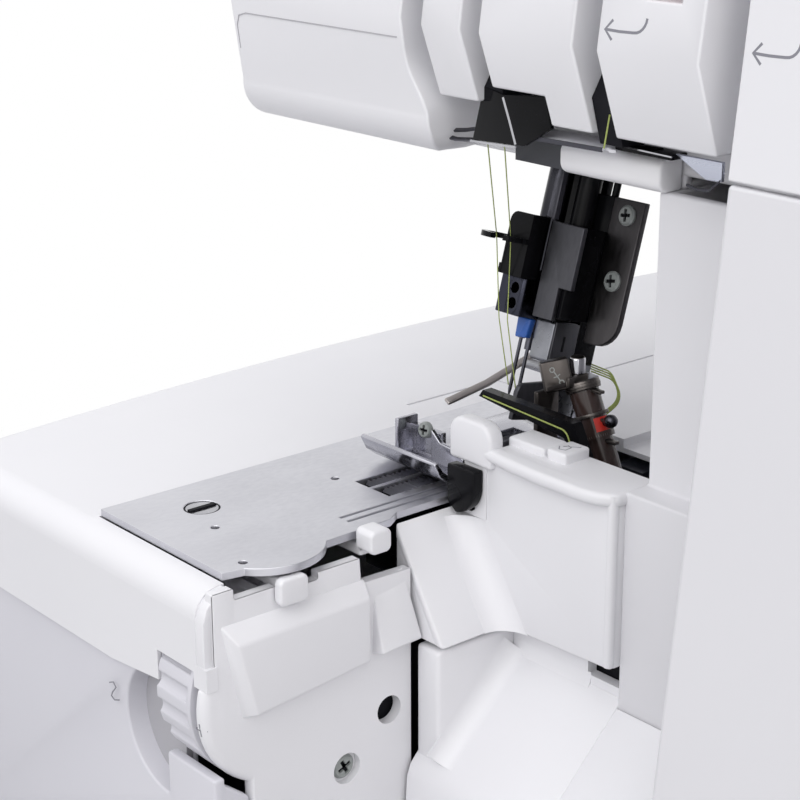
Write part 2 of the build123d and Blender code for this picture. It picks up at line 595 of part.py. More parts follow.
def column_cover():
    z0, z1, seat = TRAY_TOP, HEAD_BOTTOM, BED_TOP - 6
    left, inner_left, front = COLUMN_LEFT, COLUMN_LEFT + WALL, COLUMN_FRONT
    cover = block(left, inner_left, front, COLUMN_REAR, LEDGE_TOP, z1)
    cover += block(left, inner_left, BED_INNER_Y + GAP, COLUMN_REAR, seat, LEDGE_TOP)
    # Front strip left of the panel, which steps forward at the ledge
    cover += block(left, PANEL_LEFT, front, front + WALL, LEDGE_TOP - WALL, z1)
    strip_left, strip_bottom = STRIP_LEFT, 67
    cover += block(strip_left, PANEL_LEFT, LEDGE_FRONT, front + WALL, LEDGE_TOP - WALL, LEDGE_TOP)
    cover += block(strip_left, PANEL_LEFT, LEDGE_FRONT, LEDGE_FRONT + WALL, strip_bottom, LEDGE_TOP - WALL)
    # Right wall behind the leaning panel, then the rear wall and its corner post
    behind, cheek_top, cheek_rear = WALL + 2.2, PANEL_SEAM_Z - GAP, HEAD_BACKPLATE_Y - GAP
    side = [(panel_y(z0) + behind, z0), (COLUMN_REAR, z0), (COLUMN_REAR, z1)]
    side += [(cheek_rear, z1), (cheek_rear, cheek_top), (panel_y(cheek_top) + behind, cheek_top)]
    cover += prism_x(side, COLUMN_RIGHT - WALL, COLUMN_RIGHT)
    cover += block(left, COLUMN_RIGHT, COLUMN_REAR - WALL, COLUMN_REAR, seat, z1)
    cover += block(COLUMN_RIGHT - 20, COLUMN_RIGHT, COLUMN_REAR - WALL, COLUMN_REAR, z0, BED_TOP)
    # Openings for the main shaft, the switch, the inlet and the two dial spindles
    through = (COLUMN_RIGHT - 5, COLUMN_RIGHT + 1)
    cover -= rod_x(*through, SHAFT_Y, SHAFT_Z, SHAFT_RADIUS + 5)
    cover -= block(*through, SWITCH_Y - 10, SWITCH_Y + 10, SWITCH_Z[0] - 2.6, SWITCH_Z[1] + 2.6)
    cover -= block(*through, SWITCH_Y - 12, SWITCH_Y + 12, INLET_Z[0] - GAP, INLET_Z[1] + GAP)
    for y, z in (LENGTH_DIAL, DIFFERENTIAL_DIAL):
        cover -= rod_x(*through, y, z, SIDE_SPINDLE_RADIUS + GAP)
    return cover


def front_panel():
    z0, z1, barrel_radius = 24.0, PANEL_SEAM_Z - 0.8, 4.5
    outline = [(panel_y(z0), z0), (panel_y(z0) + WALL, z0), (panel_y(z1) + WALL, z1), (panel_y(z1), z1)]
    face = prism_x(outline, PANEL_LEFT + GAP, COLUMN_RIGHT)
    face = fillet(face.edges().filter_by(Axis.Z, tolerance=10).sort_by(Axis.Y)[:2], 1.5)
    # Barrels that hold the hinge rod along the lower edge
    for x0, x1 in ((60, 72), (136, 144)):
        barrel = rod_x(x0, x1, HINGE_Y, HINGE_Z, barrel_radius)
        barrel += block(x0, x1, panel_y(z0), HINGE_Y, HINGE_Z - 1.5, z0 + WALL)
        face += barrel - rod_x(x0 - 1, x1 + 1, HINGE_Y, HINGE_Z, HINGE_RADIUS)
    return face


def front_panel_hinge_rod():
    return rod_x(54, 144, HINGE_Y, HINGE_Z, HINGE_RADIUS)


def chute():
    """Scrap chute between the bed and the front panel."""
    back_y, back_z, lip_y, lip_z, foot_y, top = -60.4, 80, -88, 54, -92, 92
    left, split, right = -28.6, STRIP_LEFT - GAP, PANEL_LEFT - GAP
    fall = (back_z - lip_z) / (back_y - lip_y)
    front = [(lip_y, lip_z), (foot_y, TRAY_TOP), (foot_y + WALL, TRAY_TOP), (lip_y + WALL, lip_z - 1.4)]
    back = [(back_y + WALL, back_z - 1.4), (back_y + WALL, top), (back_y, top), (back_y, back_z)]
    body = prism_x(front + back, left, split)
    # Right of the wall the floor ends at the column's front strip
    sill_rear = LEDGE_FRONT - GAP
    sill_top = lip_z + (sill_rear - lip_y) * fall
    body += prism_x(front + [(sill_rear, sill_top - WALL - 1), (sill_rear, sill_top)], split, right)
    # Hollow side wall beside the bed
    wall_right, wall_front, wall_top = -20.2, -86, 86
    body += block(left, wall_right, wall_front, back_y, lip_z + 2, wall_top)
    body -= block(left + WALL, wall_right - WALL, wall_front + WALL, back_y, lip_z - 4, wall_top - WALL)
    # Latch hole in the back wall
    return body - block(8, 16, back_y - 1, back_y + WALL + 1, 82.8, 87.2)


def looper_guard():
    top, bottom, left, right = LEDGE_TOP, 87.4, -36.6, STRIP_LEFT - GAP
    fold_x, slope_top, front, rear = -18.6, 115.6, -86, -50.5
    slope = [(left, slope_top), (fold_x, bottom), (fold_x - 2.8, bottom), (left, slope_top - 3.8)]
    guard = prism_y(slope, front, LEDGE_FRONT)
    wall = [(left, slope_top), (fold_x, bottom), (right, bottom + 1.4), (right, top), (-34, top)]
    guard += prism_y(wall, LEDGE_FRONT - WALL, LEDGE_FRONT)
    # Flange over the wall's top, with a rounded tab at its left
    tab_left, tab_right, tab_front, lip_front, pad_left = -38.4, -23, -66.5, -68.5, -26
    flange = [
        (left, tab_front),
        (fold_x, lip_front),
        (11, lip_front),
        (right, -64.5),
        (right, rear),
        (pad_left, rear),
        (pad_left, LEDGE_FRONT),
        (left, LEDGE_FRONT),
    ]
    guard += plan(Polyline(*flange, close=True), top - 3.4, top)
    tab = block(tab_left, tab_right, tab_front, LEDGE_FRONT, top - 6, 139.4)
    guard += fillet(tab.edges().filter_by(Axis.Y).sort_by(Axis.Z)[-2:], 4.5)
    # Clears the lower knife holder's neck over its travel
    neck_right, (neck_bottom, neck_top) = KNIFE_NECK_RIGHT + KNIFE_TRAVEL + 0.5, KNIFE_NECK_Z
    guard -= block(left - 4, neck_right, lip_front, LEDGE_FRONT + 1, neck_bottom - 0.5, neck_top + 0.5)
    # Two raised pads on the flange
    for x0, x1, height in ((-24, -11.5, 2), (-10.5, -4, 2.6)):
        guard += block(x0, x1, -60, -51.5, top - 1, top + height)
    return guard


def lower_knife_holder():
    """Quarter-round flange before the guard's wall, on a neck through it to the knife."""
    left, right, bottom, top, front, rear = -36.8, -26.9, 114.6, 127, -68.8, LEDGE_FRONT - WALL - 0.4
    corner, middle, foot = (right, 122.5), (-29.0, 117.0), (-33.6, bottom)
    sides = Polyline(foot, (left, bottom + 2.4), (left, top), (right, top), corner)
    outline = make_face([sides, ThreePointArc(corner, middle, foot)])
    holder = extrude(Plane.XZ.offset(-front) * outline, front - rear)
    knife_seat, knife_foot = -59.0, 104
    holder += block(left, KNIFE_NECK_RIGHT, rear, knife_seat, *KNIFE_NECK_Z)
    return holder + block(left, KNIFE_NECK_RIGHT, LEDGE_FRONT + 0.4, knife_seat, knife_foot, KNIFE_NECK_Z[1])


def lower_knife():
    return block(-36.4, -34.4, -58.8, -40, 104, 117.6)


def needle_bar():
    return NEEDLE * rod_z(0, 0, NEEDLE_BAR_BOTTOM, 150, NEEDLE_BAR_RADIUS)


def needle_clamp():
    front, bottom = -9.0, 36.6
    body = block(-5.2, 4.0, front, 4.5, bottom, NEEDLE_CLAMP_TOP)
    body = chamfer(body.edges().filter_by(Axis.Z), 0.6)
    body -= rod_z(0, 0, NEEDLE_BAR_BOTTOM, NEEDLE_CLAMP_TOP + 1, NEEDLE_BAR_RADIUS)
    for u, seat, _ in NEEDLES:
        body -= rod_z(u, 0, bottom - 1, seat, NEEDLE_SHANK_RADIUS)
    set_screw_u, set_screw_radius = 0.8, 1.4
    for w in (39.7, 43.8):
        body -= rod_y(set_screw_u, front - 1, -4, w, set_screw_radius)
    return NEEDLE * body


def needles():
    group = []
    shank_length, point_length, blade_radius, point_radius = 13, 3, 0.5, 0.05
    for u, seat, tip in NEEDLES:
        shoulder, neck = seat - shank_length, tip + point_length
        needle = Pos(u, 0, (seat + shoulder) / 2) * Cylinder(NEEDLE_SHANK_RADIUS, shank_length)
        needle += Pos(u, 0, (shoulder + neck) / 2) * Cylinder(blade_radius, shoulder - neck)
        needle += Pos(u, 0, (tip + neck) / 2) * Cone(point_radius, blade_radius, point_length)
        group.append(NEEDLE * needle)
    return join(group)


def needle_thread_guide():
    """Cover on the needle bar's clamp, with an open thread hook at its foot."""
    left, right, front, bottom, top, sheet = -3.3, 4.8, -11.8, NEEDLE_CLAMP_TOP, 63.5, 1.6
    face = block(left, right, front, front + sheet, bottom, top)
    face = fillet(face.edges().filter_by(Axis.Y).group_by(Axis.Z)[-1].sort_by(Axis.X)[0], 2.5)
    cover = face + block(right - sheet, right, front, -6.2, bottom, top)
    shelf = block(-4, right - 1, front, 3.8, bottom, bottom + 2.6)
    cover += shelf - Cylinder(NEEDLE_BAR_RADIUS, 200)
    outer_radius, inner_radius, ring_thick, gap_width = 6.0, 4.2, 1.4, 3.0
    ring = Cylinder(outer_radius, ring_thick) - Cylinder(inner_radius, 4)
    ring -= Pos(2.6, -5, 0) * Box(gap_width, 8, 5)
    ring = Pos(*HOOK_CENTRE) * ring
    # Ledge that carries the hook across the cover's face
    hook_w, half_thick = HOOK_CENTRE[2], ring_thick / 2
    ring += block(0, right, front - 1.2, front + sheet, hook_w - half_thick, hook_w + half_thick)
    return NEEDLE * (cover + ring)


def presser_bar():
    """Bar with a thinner spigot at its foot that the ankle slides over."""
    spigot_bottom, shoulder, top = 25, ANKLE_TOP + 0.2, 163
    bar = rod_z(*PRESSER_BAR, shoulder, top, PRESSER_BAR_RADIUS)
    return PRESSER * (bar + rod_z(*PRESSER_BAR, spigot_bottom, shoulder, PRESSER_SPIGOT_RADIUS))


def presser_bracket():
    """Screw plate on a clamp behind the presser bar, with the needle guard plate before both."""
    left, right, front, rear, bottom, top = 4.5, 15.2, BRACKET_V - 1, BRACKET_V + 1, 30.3, 69.1
    plate = block(left, right, front, rear, bottom, top)
    corner = plate.edges().filter_by(Axis.Y).group_by(Axis.Z)[0].sort_by(Axis.X)[-1]
    plate = fillet(corner, 7)
    for w in BRACKET_SCREW_W:
        plate -= rod_y(BRACKET_SCREW_U, front - 1, rear + 1, w, BRACKET_SCREW_RADIUS)
    clamp = block(PRESSER_BAR[0], left + 2, front, 0, 38, top)
    clamp -= rod_z(*PRESSER_BAR, 0, 200, PRESSER_BAR_RADIUS)
    clamp += rod_z(*GUIDE_ROD, top - 1, 100, GUIDE_ROD_RADIUS)
    # Guard plate, notched at its lower right corner, on a web from the clamp
    guard_front, sheet, guard_bottom, guard_top, notch_left, notch_top = -18.2, 1.6, 34.6, 59.8, 3.1, 43.3
    guard = block(-4, 7.5, guard_front, guard_front + sheet, guard_bottom, guard_top)
    guard -= block(notch_left, 8, guard_front - 1, guard_front + sheet + 1, guard_bottom - 1, notch_top)
    web = block(left - sheet, left, guard_front, rear, notch_top, guard_top)
    return PRESSER * (plate + clamp + guard + web)


def bracket_screws():
    group = []
    head_radius, head_thick, cross_long, cross_wide, cross_deep = 3.1, 1.4, 3.8, 0.9, 1.0
    head_v = BRACKET_V - 1.0 - head_thick / 2
    for w in BRACKET_SCREW_W:
        screw = Pos(BRACKET_SCREW_U, head_v, w) * Rot(90, 0, 0) * Cylinder(head_radius, head_thick)
        screw += Pos(BRACKET_SCREW_U, BRACKET_V, w) * Rot(90, 0, 0) * Cylinder(BRACKET_SCREW_RADIUS, 2.0)
        recess = Pos(BRACKET_SCREW_U, head_v - head_thick / 2, w)
        screw -= recess * Box(cross_long, cross_deep, cross_wide)
        screw -= recess * Box(cross_wide, cross_deep, cross_long)
        group.append(PRESSER * screw)
    return join(group)


def foot_ankle():
    left, right, front, rear, bottom = -6.4, 0.3, -13.5, -4, 23
    body = block(left, right, front, rear, bottom, ANKLE_TOP)
    body = chamfer(body.edges().filter_by(Axis.X), 0.8)
    body -= rod_z(*PRESSER_BAR, 25, ANKLE_TOP + 1, PRESSER_SPIGOT_RADIUS)
    # Neck behind it, and the tongue that the foot hangs from
    neck_left, neck_right, tongue_rear, neck_bottom = -2, 4, 3.8, 16
    body += block(neck_left, neck_right, rear - 1, tongue_rear, neck_bottom, 30)
    pin = Pos(1.0, 0, FOOT_PIN_HEIGHT) * Rot(0, 90, 0)
    body += block(neck_left, neck_right, -tongue_rear, tongue_rear, FOOT_PIN_HEIGHT, neck_bottom + 1)
    body += pin * Cylinder(tongue_rear, neck_right - neck_left)
    body -= pin * Cylinder(FOOT_PIN_RADIUS + RUNNING_FIT, 10)
    # Flat steel finger that reaches forward from the ankle, left of the needles
    left, right, tip_y, root_y, tip_z, root_z, thick = -66, -62, -45, -16, 130.0, 136.2, 1.6
    finger = [(tip_y, tip_z), (root_y, root_z), (root_y, root_z + thick), (tip_y, tip_z + thick)]
    strip = prism_x(finger, left, right)
    return PRESSER * body + strip + block(left, -43, root_y - 4, root_y, root_z, root_z + thick)


def presser_foot():
    bottom = PLATE_TOP + 0.9
    top, left, right, toe_y, heel_y = bottom + 2, -69, -38, -58, FOOT_PIN_Y + 4
    foot = block(left, right, toe_y, heel_y, bottom, top)
    toe = [(toe_y, bottom), (toe_y, top), (toe_y - 9, bottom + 7.5), (toe_y - 9.8, bottom + 6)]
    foot += prism_x(toe, left, right - 1.5)
    foot -= block(NEEDLE_X - 5, NEEDLE_X + 5, -46, -25.5, bottom - 1, top + 1)
    # Lugs either side of the ankle's tongue, on a pin
    lug_top, pin_left, pin_right = FOOT_PIN_Z + 3, -46.2, -35.2
    for x0, x1 in ((-46.0, -44.3), (-37.4, -35.6)):
        foot += block(x0, x1, heel_y - 8, heel_y, bottom, lug_top)
    foot += block(right - 1, -35.6, heel_y - 8, heel_y, bottom, top)
    # Low upright plates behind the toe
    foot += block(-64, -52, toe_y + 0.5, toe_y + 2.5, bottom, bottom + 9)
    foot += block(-42, -40, toe_y + 0.5, toe_y + 8.5, bottom, bottom + 10)
    return foot + rod_x(pin_left, pin_right, FOOT_PIN_Y, FOOT_PIN_Z, FOOT_PIN_RADIUS)


def presser_lifter():
    boss_x, end_y, half_thick = (-24, -12), 92, 2.5
    lifter = rod_x(*boss_x, LIFTER_Y, LIFTER_Z, 5.5)
    lifter += rod_x(LIFTER_LUGS[0][0], LIFTER_LUGS[1][1], LIFTER_Y, LIFTER_Z, LIFTER_PIN_RADIUS)
    lifter += block(-22, -14, LIFTER_Y, end_y, LIFTER_Z - half_thick, LIFTER_Z + half_thick)
    return lifter + rod_x(*boss_x, end_y, LIFTER_Z, 5)


def pressure_knob():
    x, y, radius, bottom, top = PRESSURE_KNOB_X, PRESSURE_KNOB_Y, 10, HEAD_TOP + 2.6, HEAD_TOP + 11
    knob = rod_z(x, y, bottom, top, radius)
    flute_count, flute_place, flute_radius = 18, radius + 0.8, 1.5
    for i in range(flute_count):
        angle = 2 * math.pi * i / flute_count
        flute_x, flute_y = x + flute_place * math.cos(angle), y + flute_place * math.sin(angle)
        knob -= rod_z(flute_x, flute_y, bottom - 1, top + 1, flute_radius)
    return knob + rod_z(x, y, HEAD_TOP - 8, bottom, PRESSURE_STEM_RADIUS)


def upper_looper():
    x, z = UPPER_LOOPER_PIVOT
    y0, y1 = UPPER_LOOPER_Y - LOOPER_HALF_THICK, UPPER_LOOPER_Y + LOOPER_HALF_THICK
    right, inside = -9, -16
    outline = [
        (x - 4, z - 4),
        (right, z - 4),
        (right - 0.5, 128),
        (-15, 138),
        (-48, 138.6),
        (-49.5, 136.6),
        (-18, 133.4),
        (inside + 0.5, 124),
        (inside, z + 6),
        (x - 4, z + 6),
    ]
    return prism_y(outline, y0, y1) + rod_y(x, y0, -4, z, LOOPER_SHAFT_RADIUS)


def lower_looper():
    """Drawn upright about its shaft, then turned to where it waits with the needles up."""
    x, z = LOWER_LOOPER_PIVOT
    y0, y1 = LOWER_LOOPER_Y - LOOPER_HALF_THICK, LOWER_LOOPER_Y + LOOPER_HALF_THICK
    outline = [(-5, -5), (5, -5), (4, 38), (2, 44), (-16, 47.5), (-17.5, 46), (-4, 40)]
    arm = Pos(x, 0, z) * Rot(0, LOWER_LOOPER_TURN, 0) * prism_y(outline, y0, y1)
    return arm + rod_y(x, y0, -4, z, LOOPER_SHAFT_RADIUS)


def knife_frame():
    """A frame at the knife's pivot whose Z axis runs up the tube."""
    dx, dz = KNIFE_TOP[0] - KNIFE_PIVOT[0], KNIFE_TOP[1] - KNIFE_PIVOT[1]
    return Location((KNIFE_PIVOT[0], KNIFE_Y, KNIFE_PIVOT[1]), (0, math.degrees(math.atan2(dx, dz)), 0))


KNIFE = knife_frame()
KNIFE_LENGTH = math.dist(KNIFE_TOP, KNIFE_PIVOT)


def upper_knife_arm():
    hub_radius, hub_width, across = 7, 9, Rot(90, 0, 0)
    arm = Pos(0, 0, KNIFE_LENGTH / 2) * Cylinder(KNIFE_TUBE_RADIUS, KNIFE_LENGTH)
    arm += across * Cylinder(hub_radius, hub_width)
    arm += Pos(0, 0, KNIFE_LENGTH - 12) * Cylinder(KNIFE_TUBE_RADIUS + 0.8, 1.6)
    return KNIFE * (arm - across * Cylinder(KNIFE_PIN_RADIUS + RUNNING_FIT, 20))


def upper_knife_block():
    """Square clamp block beside the tube's end, with its blade below and its release knob on top."""
    x, y, z, tilt = -32.6, -39.1, 145.0, -12
    body = Box(8.4, 9.2, 8.4)
    body = Pos(x, y, z) * Rot(0, tilt, 0) * chamfer(body.edges(), 0.6)
    cap_thick = 2.4
    cap = KNIFE * Pos(0, 0, KNIFE_LENGTH + cap_thick / 2) * Cylinder(KNIFE_TUBE_RADIUS + 0.7, cap_thick)
    lug_bottom, lug_top = KNIFE_TOP[1] + 1.8, 144.6
    lug = block(x, KNIFE_TOP[0] + 0.6, y + 3, KNIFE_Y + 1, lug_bottom, lug_top)
    knob = rod_z(-29.2, -31, lug_top - 1, 149, 1.9)
    blade = block(-36.2, -34.6, -39.6, -32, PLATE_TOP + 1.2, 143)
    return body + cap + lug + knob + blade


def head_left_block():
    """Rounded left end of the head's front, flared at its lower right corner."""
    x0, x1, bottom, top = HEAD_LEFT, LEFT_BLOCK_FLARE, HEAD_BOTTOM + 0.5, HEAD_TOP - 4
    round_top, round_middle, round_end = (-70.5, 214), (-67.5, 206), (-60, bottom)
    back = [round_end, (HEAD_BACKPLATE_Y, bottom), (HEAD_BACKPLATE_Y, top)]
    front = [(fin_top_y(top), top), (BEND_Y, BEND_Z + 1), round_top]
    section = make_face([ThreePointArc(round_top, round_middle, round_end), Polyline(*back, *front)])
    body = extrude(Plane.YZ.offset(x0) * section, x1 - x0)
    # The left end face is bevelled, except along its back edge
    edges = body.faces().sort_by(Axis.X)[0].edges().sort_by(Axis.Y)
    body = chamfer(edges[:-1], 5)
    # Right wall: straight, then flared to the corner, which is rounded
    flare_top, flare_end, beyond = (LEFT_BLOCK_RIGHT, 229), (x1, 211), x1 + 1
    flare = Spline(flare_top, flare_end, tangents=((0, -1), (0, -1)))
    outside = Polyline(flare_end, (beyond, 211), (beyond, top + 1), (LEFT_BLOCK_RIGHT, top + 1), flare_top)
    depth, front_plane = 60, Plane.XZ.offset(90)
    body -= extrude(front_plane * make_face([flare, outside]), -depth)
    corner_top, corner_middle, corner_end = (x1, 209), (x1 - 1.7, 205.2), (x1 - 5.5, bottom)
    corner = ThreePointArc(corner_top, corner_middle, corner_end)
    outside = Polyline(corner_end, (x1 - 5.5, bottom - 1), (beyond, bottom - 1), (beyond, 209), corner_top)
    body -= extrude(front_plane * make_face([corner, outside]), -depth)
    cavity_x = (x0 + 8, LEFT_BLOCK_RIGHT - 4)
    return body - block(*cavity_x, HEAD_CAVITY_Y, HEAD_BACKPLATE_Y + 1, bottom + 8.5, top - 8)


def tension_window(x):
    half = TENSION_WINDOW_HALF
    return block(x - half, x + half, -90, HEAD_BACKPLATE_Y + 5, *TENSION_WINDOW_Z)


def tension_pin(x):
    """Fixed pin of one tension wheel, between two cheeks."""
    cheek, half_height = 2.0, 7
    pin = rod_x(x - TENSION_WINDOW_HALF, x + TENSION_WINDOW_HALF, TENSION_Y, TENSION_Z, TENSION_PIN_RADIUS)
    for side in (x - TENSION_WINDOW_HALF - cheek, x + TENSION_WINDOW_HALF):
        low, high = TENSION_Z - half_height, TENSION_Z + half_height
        pin += block(side, side + cheek, HEAD_CAVITY_Y - 2, HEAD_BACKPLATE_Y - 1, low, high)
    return pin


def fin_profile(bottom):
    """Side outline of one block of the head's front, bent where the two faces meet."""
    top = HEAD_TOP - 4
    bottom_y = FIN_BOTTOM_Y + (BEND_Y - FIN_BOTTOM_Y) * (bottom - FIN_BOTTOM_Z) / (BEND_Z - FIN_BOTTOM_Z)
    front = [(bottom_y, bottom), (BEND_Y, BEND_Z), (fin_top_y(top), top)]
    return front + [(HEAD_BACKPLATE_Y, top), (HEAD_BACKPLATE_Y, bottom)]


def fin(x0, x1, bottom):
    cavity_z = (FIN_BOTTOM_Z + 9, HEAD_TOP - 8)
    cavity = block(x0 + WALL, x1 - WALL, HEAD_CAVITY_Y, HEAD_BACKPLATE_Y + 1, *cavity_z)
    return prism_x(fin_profile(bottom), x0, x1) - cavity


def head_front_cover():
    """The head's whole front moulding: left block, fins and right block, with thread channels between."""
    cover = head_left_block() + [fin(*place) for place in FINS] + head_right_block()
    cover += block(-60, 60, -60, HEAD_BACKPLATE_Y, HEAD_TOP - 8, HEAD_TOP - 4)
    # The second fin's lower corner opens onto the take-up guard
    cover -= block(-24, -4, -80, HEAD_BACKPLATE_Y + 1, FIN_BOTTOM_Z - 1, TAKE_UP_TOP + GAP)
    for x in TENSION_X:
        cover = cover - tension_window(x) + tension_pin(x)
    return cover


def head_right_block():
    z0, z1 = PANEL_SEAM_Z, HEAD_TOP - 4
    outline = [(panel_y(z0), z0), (HEAD_BACKPLATE_Y, z0), (HEAD_BACKPLATE_Y, z1), (panel_y(z1), z1)]
    body = prism_x(outline, PANEL_LEFT + GAP, COLUMN_RIGHT)
    cavity_x = (PANEL_LEFT + 4, COLUMN_RIGHT - WALL)
    return body - block(*cavity_x, HEAD_CAVITY_Y, HEAD_BACKPLATE_Y + 1, z0 + WALL, z1 - WALL)


def head_shell():
    """Top, rear and underside of the head, behind its front blocks."""
    left, right, front, rear = HEAD_LEFT + 2, COLUMN_RIGHT, HEAD_BACKPLATE_Y, COLUMN_REAR
    outer = block(left, right, front, rear, HEAD_BOTTOM, HEAD_TOP)
    shell = fillet(outer.edges().filter_by(Axis.X).sort_by(Axis.Y)[-2:], 8)
    floor_top, under = HEAD_BOTTOM + 2, HEAD_BOTTOM - 1
    shell -= block(left + WALL, right - WALL, front + WALL, rear - WALL, floor_top, HEAD_TOP - WALL)
    # Openings below: the column, both bars and the arm's nose
    shell -= block(COLUMN_LEFT + WALL, right - WALL, front - 1, rear - WALL, under, floor_top + 1)
    shell -= block(-66, -30, -30, 20, under, floor_top + 1)
    shell -= block(NOSE_X[0] - GAP, NOSE_X[1] + GAP, front - 1, -15, under, NOSE_TOP + GAP)
    for x in TENSION_X:
        shell -= tension_window(x)
    shell -= rod_z(PRESSURE_KNOB_X, PRESSURE_KNOB_Y, HEAD_TOP - 6, HEAD_TOP + 1, PRESSURE_STEM_RADIUS + GAP)
    # Slot for the lifter in the rear wall
    return shell - block(-26, -10, rear - 5, rear + 1, 205.5, 236)


def tension_dial(index):
    x, half = TENSION_X[index], TENSION_WIDTH / 2
    wheel = rod_x(x - half, x + half, TENSION_Y, TENSION_Z, TENSION_RADIUS)
    flute_count, flute_out, flute_radius = 40, 0.9, 1.5
    flute = rod_x(x - half - 1, x + half + 1, TENSION_Y, TENSION_Z + TENSION_RADIUS + flute_out, flute_radius)
    wheel -= turned_about_x(TENSION_Y, TENSION_Z, flute_count, flute)
    return wheel - rod_x(x - half - 1, x + half + 1, TENSION_Y, TENSION_Z, TENSION_PIN_RADIUS + RUNNING_FIT)


def arm_bar():
    body = block(-10.4, COLUMN_LEFT + 2.8, -58, HEAD_BACKPLATE_Y - GAP, HEAD_BOTTOM, 211)
    front = body.edges().filter_by(Axis.X).sort_by(Axis.Y)[:2]
    return fillet(front, 3)


def take_up_guard():
    bottom, shoulder, right, step = 209.4, 215.4, -5.0, -20.9
    outline = [
        (-27.6, bottom),
        (-9, bottom),
        (right, shoulder),
        (right - 0.6, TAKE_UP_TOP - 0.2),
        (step, TAKE_UP_TOP - 0.2),
        (-25.6, shoulder),
    ]
    return prism_y(outline, -66.4, -63.4) + block(-20, -10, -64, HEAD_BACKPLATE_Y, 213, 215)


def head_thread_guides():
    """Three sheet-steel guides under the head; the right one is bent down at its end."""
    sheet, front = 1.0, -66.6
    left = block(-40.5, -31, -63, HEAD_BACKPLATE_Y, 208.6, 208.6 + sheet)
    middle_bottom = 211.4
    middle = block(-4.4, 9.4, front, HEAD_BACKPLATE_Y, middle_bottom, middle_bottom + sheet)
    middle -= block(6.0, 7.2, front - 1, -62, middle_bottom - 1, middle_bottom + 2)
    start, bend, foot, end, high, low = 10.4, 34, 44, 49.6, 212.6, 205
    upper = [(start, high), (bend, high), (foot, low), (end, low)]
    lower = [(x - 0.3, z - sheet) for x, z in reversed(upper)]
    return join([left, middle, prism_y(upper + lower, front, -58.2)])


def side_dial(y, z):
    x0 = COLUMN_RIGHT + 0.8
    x1, radius = x0 + 9, SIDE_DIAL_RADIUS
    flute_count, flute_out, flute_radius, plain = 24, 0.6, 1.5, 2
    flute = rod_x(x0 + plain, x1 + 1, y, z + radius + flute_out, flute_radius)
    knob = rod_x(x0, x1, y, z, radius) - turned_about_x(y, z, flute_count, flute)
    return knob + rod_x(COLUMN_RIGHT - 14, x0, y, z, SIDE_SPINDLE_RADIUS)


def power_switch():
    """Rocker with a shallow V face."""
    proud, valley, root, half, root_half = COLUMN_RIGHT + 2.4, COLUMN_RIGHT + 0.6, COLUMN_RIGHT - 5, 7.4, 5
    face = [(proud, SWITCH_Y - half), (valley, SWITCH_Y), (proud, SWITCH_Y + half)]
    back = [(root, SWITCH_Y + root_half), (root, SWITCH_Y - root_half)]
    return plan(Polyline(*face, *back, close=True), *SWITCH_Z)


def power_inlet():
    """Mains inlet and switch frame on one carrier."""
    x, y, rim = COLUMN_RIGHT, SWITCH_Y, 2.6
    back, half, frame_half = x - 18, 11.6, 9.6
    inlet = block(back, x + 1, y - half, y + half, *INLET_Z)
    inlet -= block(x - 14, x + 2, y - half + rim, y + half - rim, INLET_Z[0] + rim, INLET_Z[1] - rim)
    for pin_y in (y - 4, y + 4):
        inlet += block(x - 14.5, x - 4, pin_y - 1, pin_y + 1, 30, 34)
    frame_low, frame_high = SWITCH_Z[0] - 2.2, SWITCH_Z[1] + 2.2
    inlet += block(x - 14, x + 1, y - frame_half, y + frame_half, frame_low, frame_high)
    inlet -= block(x - 10, x + 2, y - 8.4, y + 8.4, SWITCH_Z[0] - 0.6, SWITCH_Z[1] + 0.6)
    return inlet + block(back, x - 13, y - frame_half, y + frame_half, INLET_Z[1] - 1, frame_high)


def spool_stand():
    tray = block(*STAND_X, *STAND_Y, BED_TOP, STAND_TOP)
    stand = fillet(tray.edges().filter_by(Axis.Z), 10)
    stand += rod_z(POLE_X, POLE_Y, STAND_TOP, STAND_TOP + 8, POLE_RADIUS + 3.5)
    seat_radius, seat_thick, pin_radius, pin_top = 24, 1.5, 3, 205
    for x in SPOOL_PIN_X:
        stand += rod_z(x, SPOOL_PIN_Y, STAND_TOP, STAND_TOP + seat_thick, seat_radius)
    stand -= rod_z(POLE_X, POLE_Y, BED_TOP + 2, 200, POLE_RADIUS)
    return stand + [rod_z(x, SPOOL_PIN_Y, STAND_TOP, pin_top, pin_radius) for x in SPOOL_PIN_X]


def guide_pole_tube():
    tube = rod_z(POLE_X, POLE_Y, BED_TOP + 2, POLE_TUBE_TOP, POLE_RADIUS)
    return tube - rod_z(POLE_X, POLE_Y, BED_TOP + 5, POLE_TUBE_TOP + 1, POLE_RADIUS - POLE_WALL + RUNNING_FIT)


def guide_pole_rod():
    """Sliding rod with the thread guide bar on its top."""
    rod = rod_z(POLE_X, POLE_Y, BED_TOP + 6, GUIDE_Z + 1, POLE_RADIUS - POLE_WALL)
    bar = block(-62, 132, POLE_Y - 4, POLE_Y + 4, GUIDE_Z, GUIDE_Z + 5)
    bar = fillet(bar.edges().filter_by(Axis.Z), 3)
    low, high, eye_y, eye_radius, hole_radius = GUIDE_Z + 1, GUIDE_Z + 3.5, POLE_Y + 36, 8, 4
    for x in SPOOL_PIN_X:
        bar += block(x - 3, x + 3, POLE_Y + 3, eye_y - 6, low, high)
        bar += rod_z(x, eye_y, low, high, eye_radius) - rod_z(x, eye_y, low - 1, high + 1, hole_radius)
    return rod + bar


def tube(points, bend, radius):
    """A thread: straight runs joined by arcs."""
    path = FilletPolyline(*points, radius=bend)
    return sweep(Plane(path @ 0, z_dir=path % 0) * Circle(radius), path)


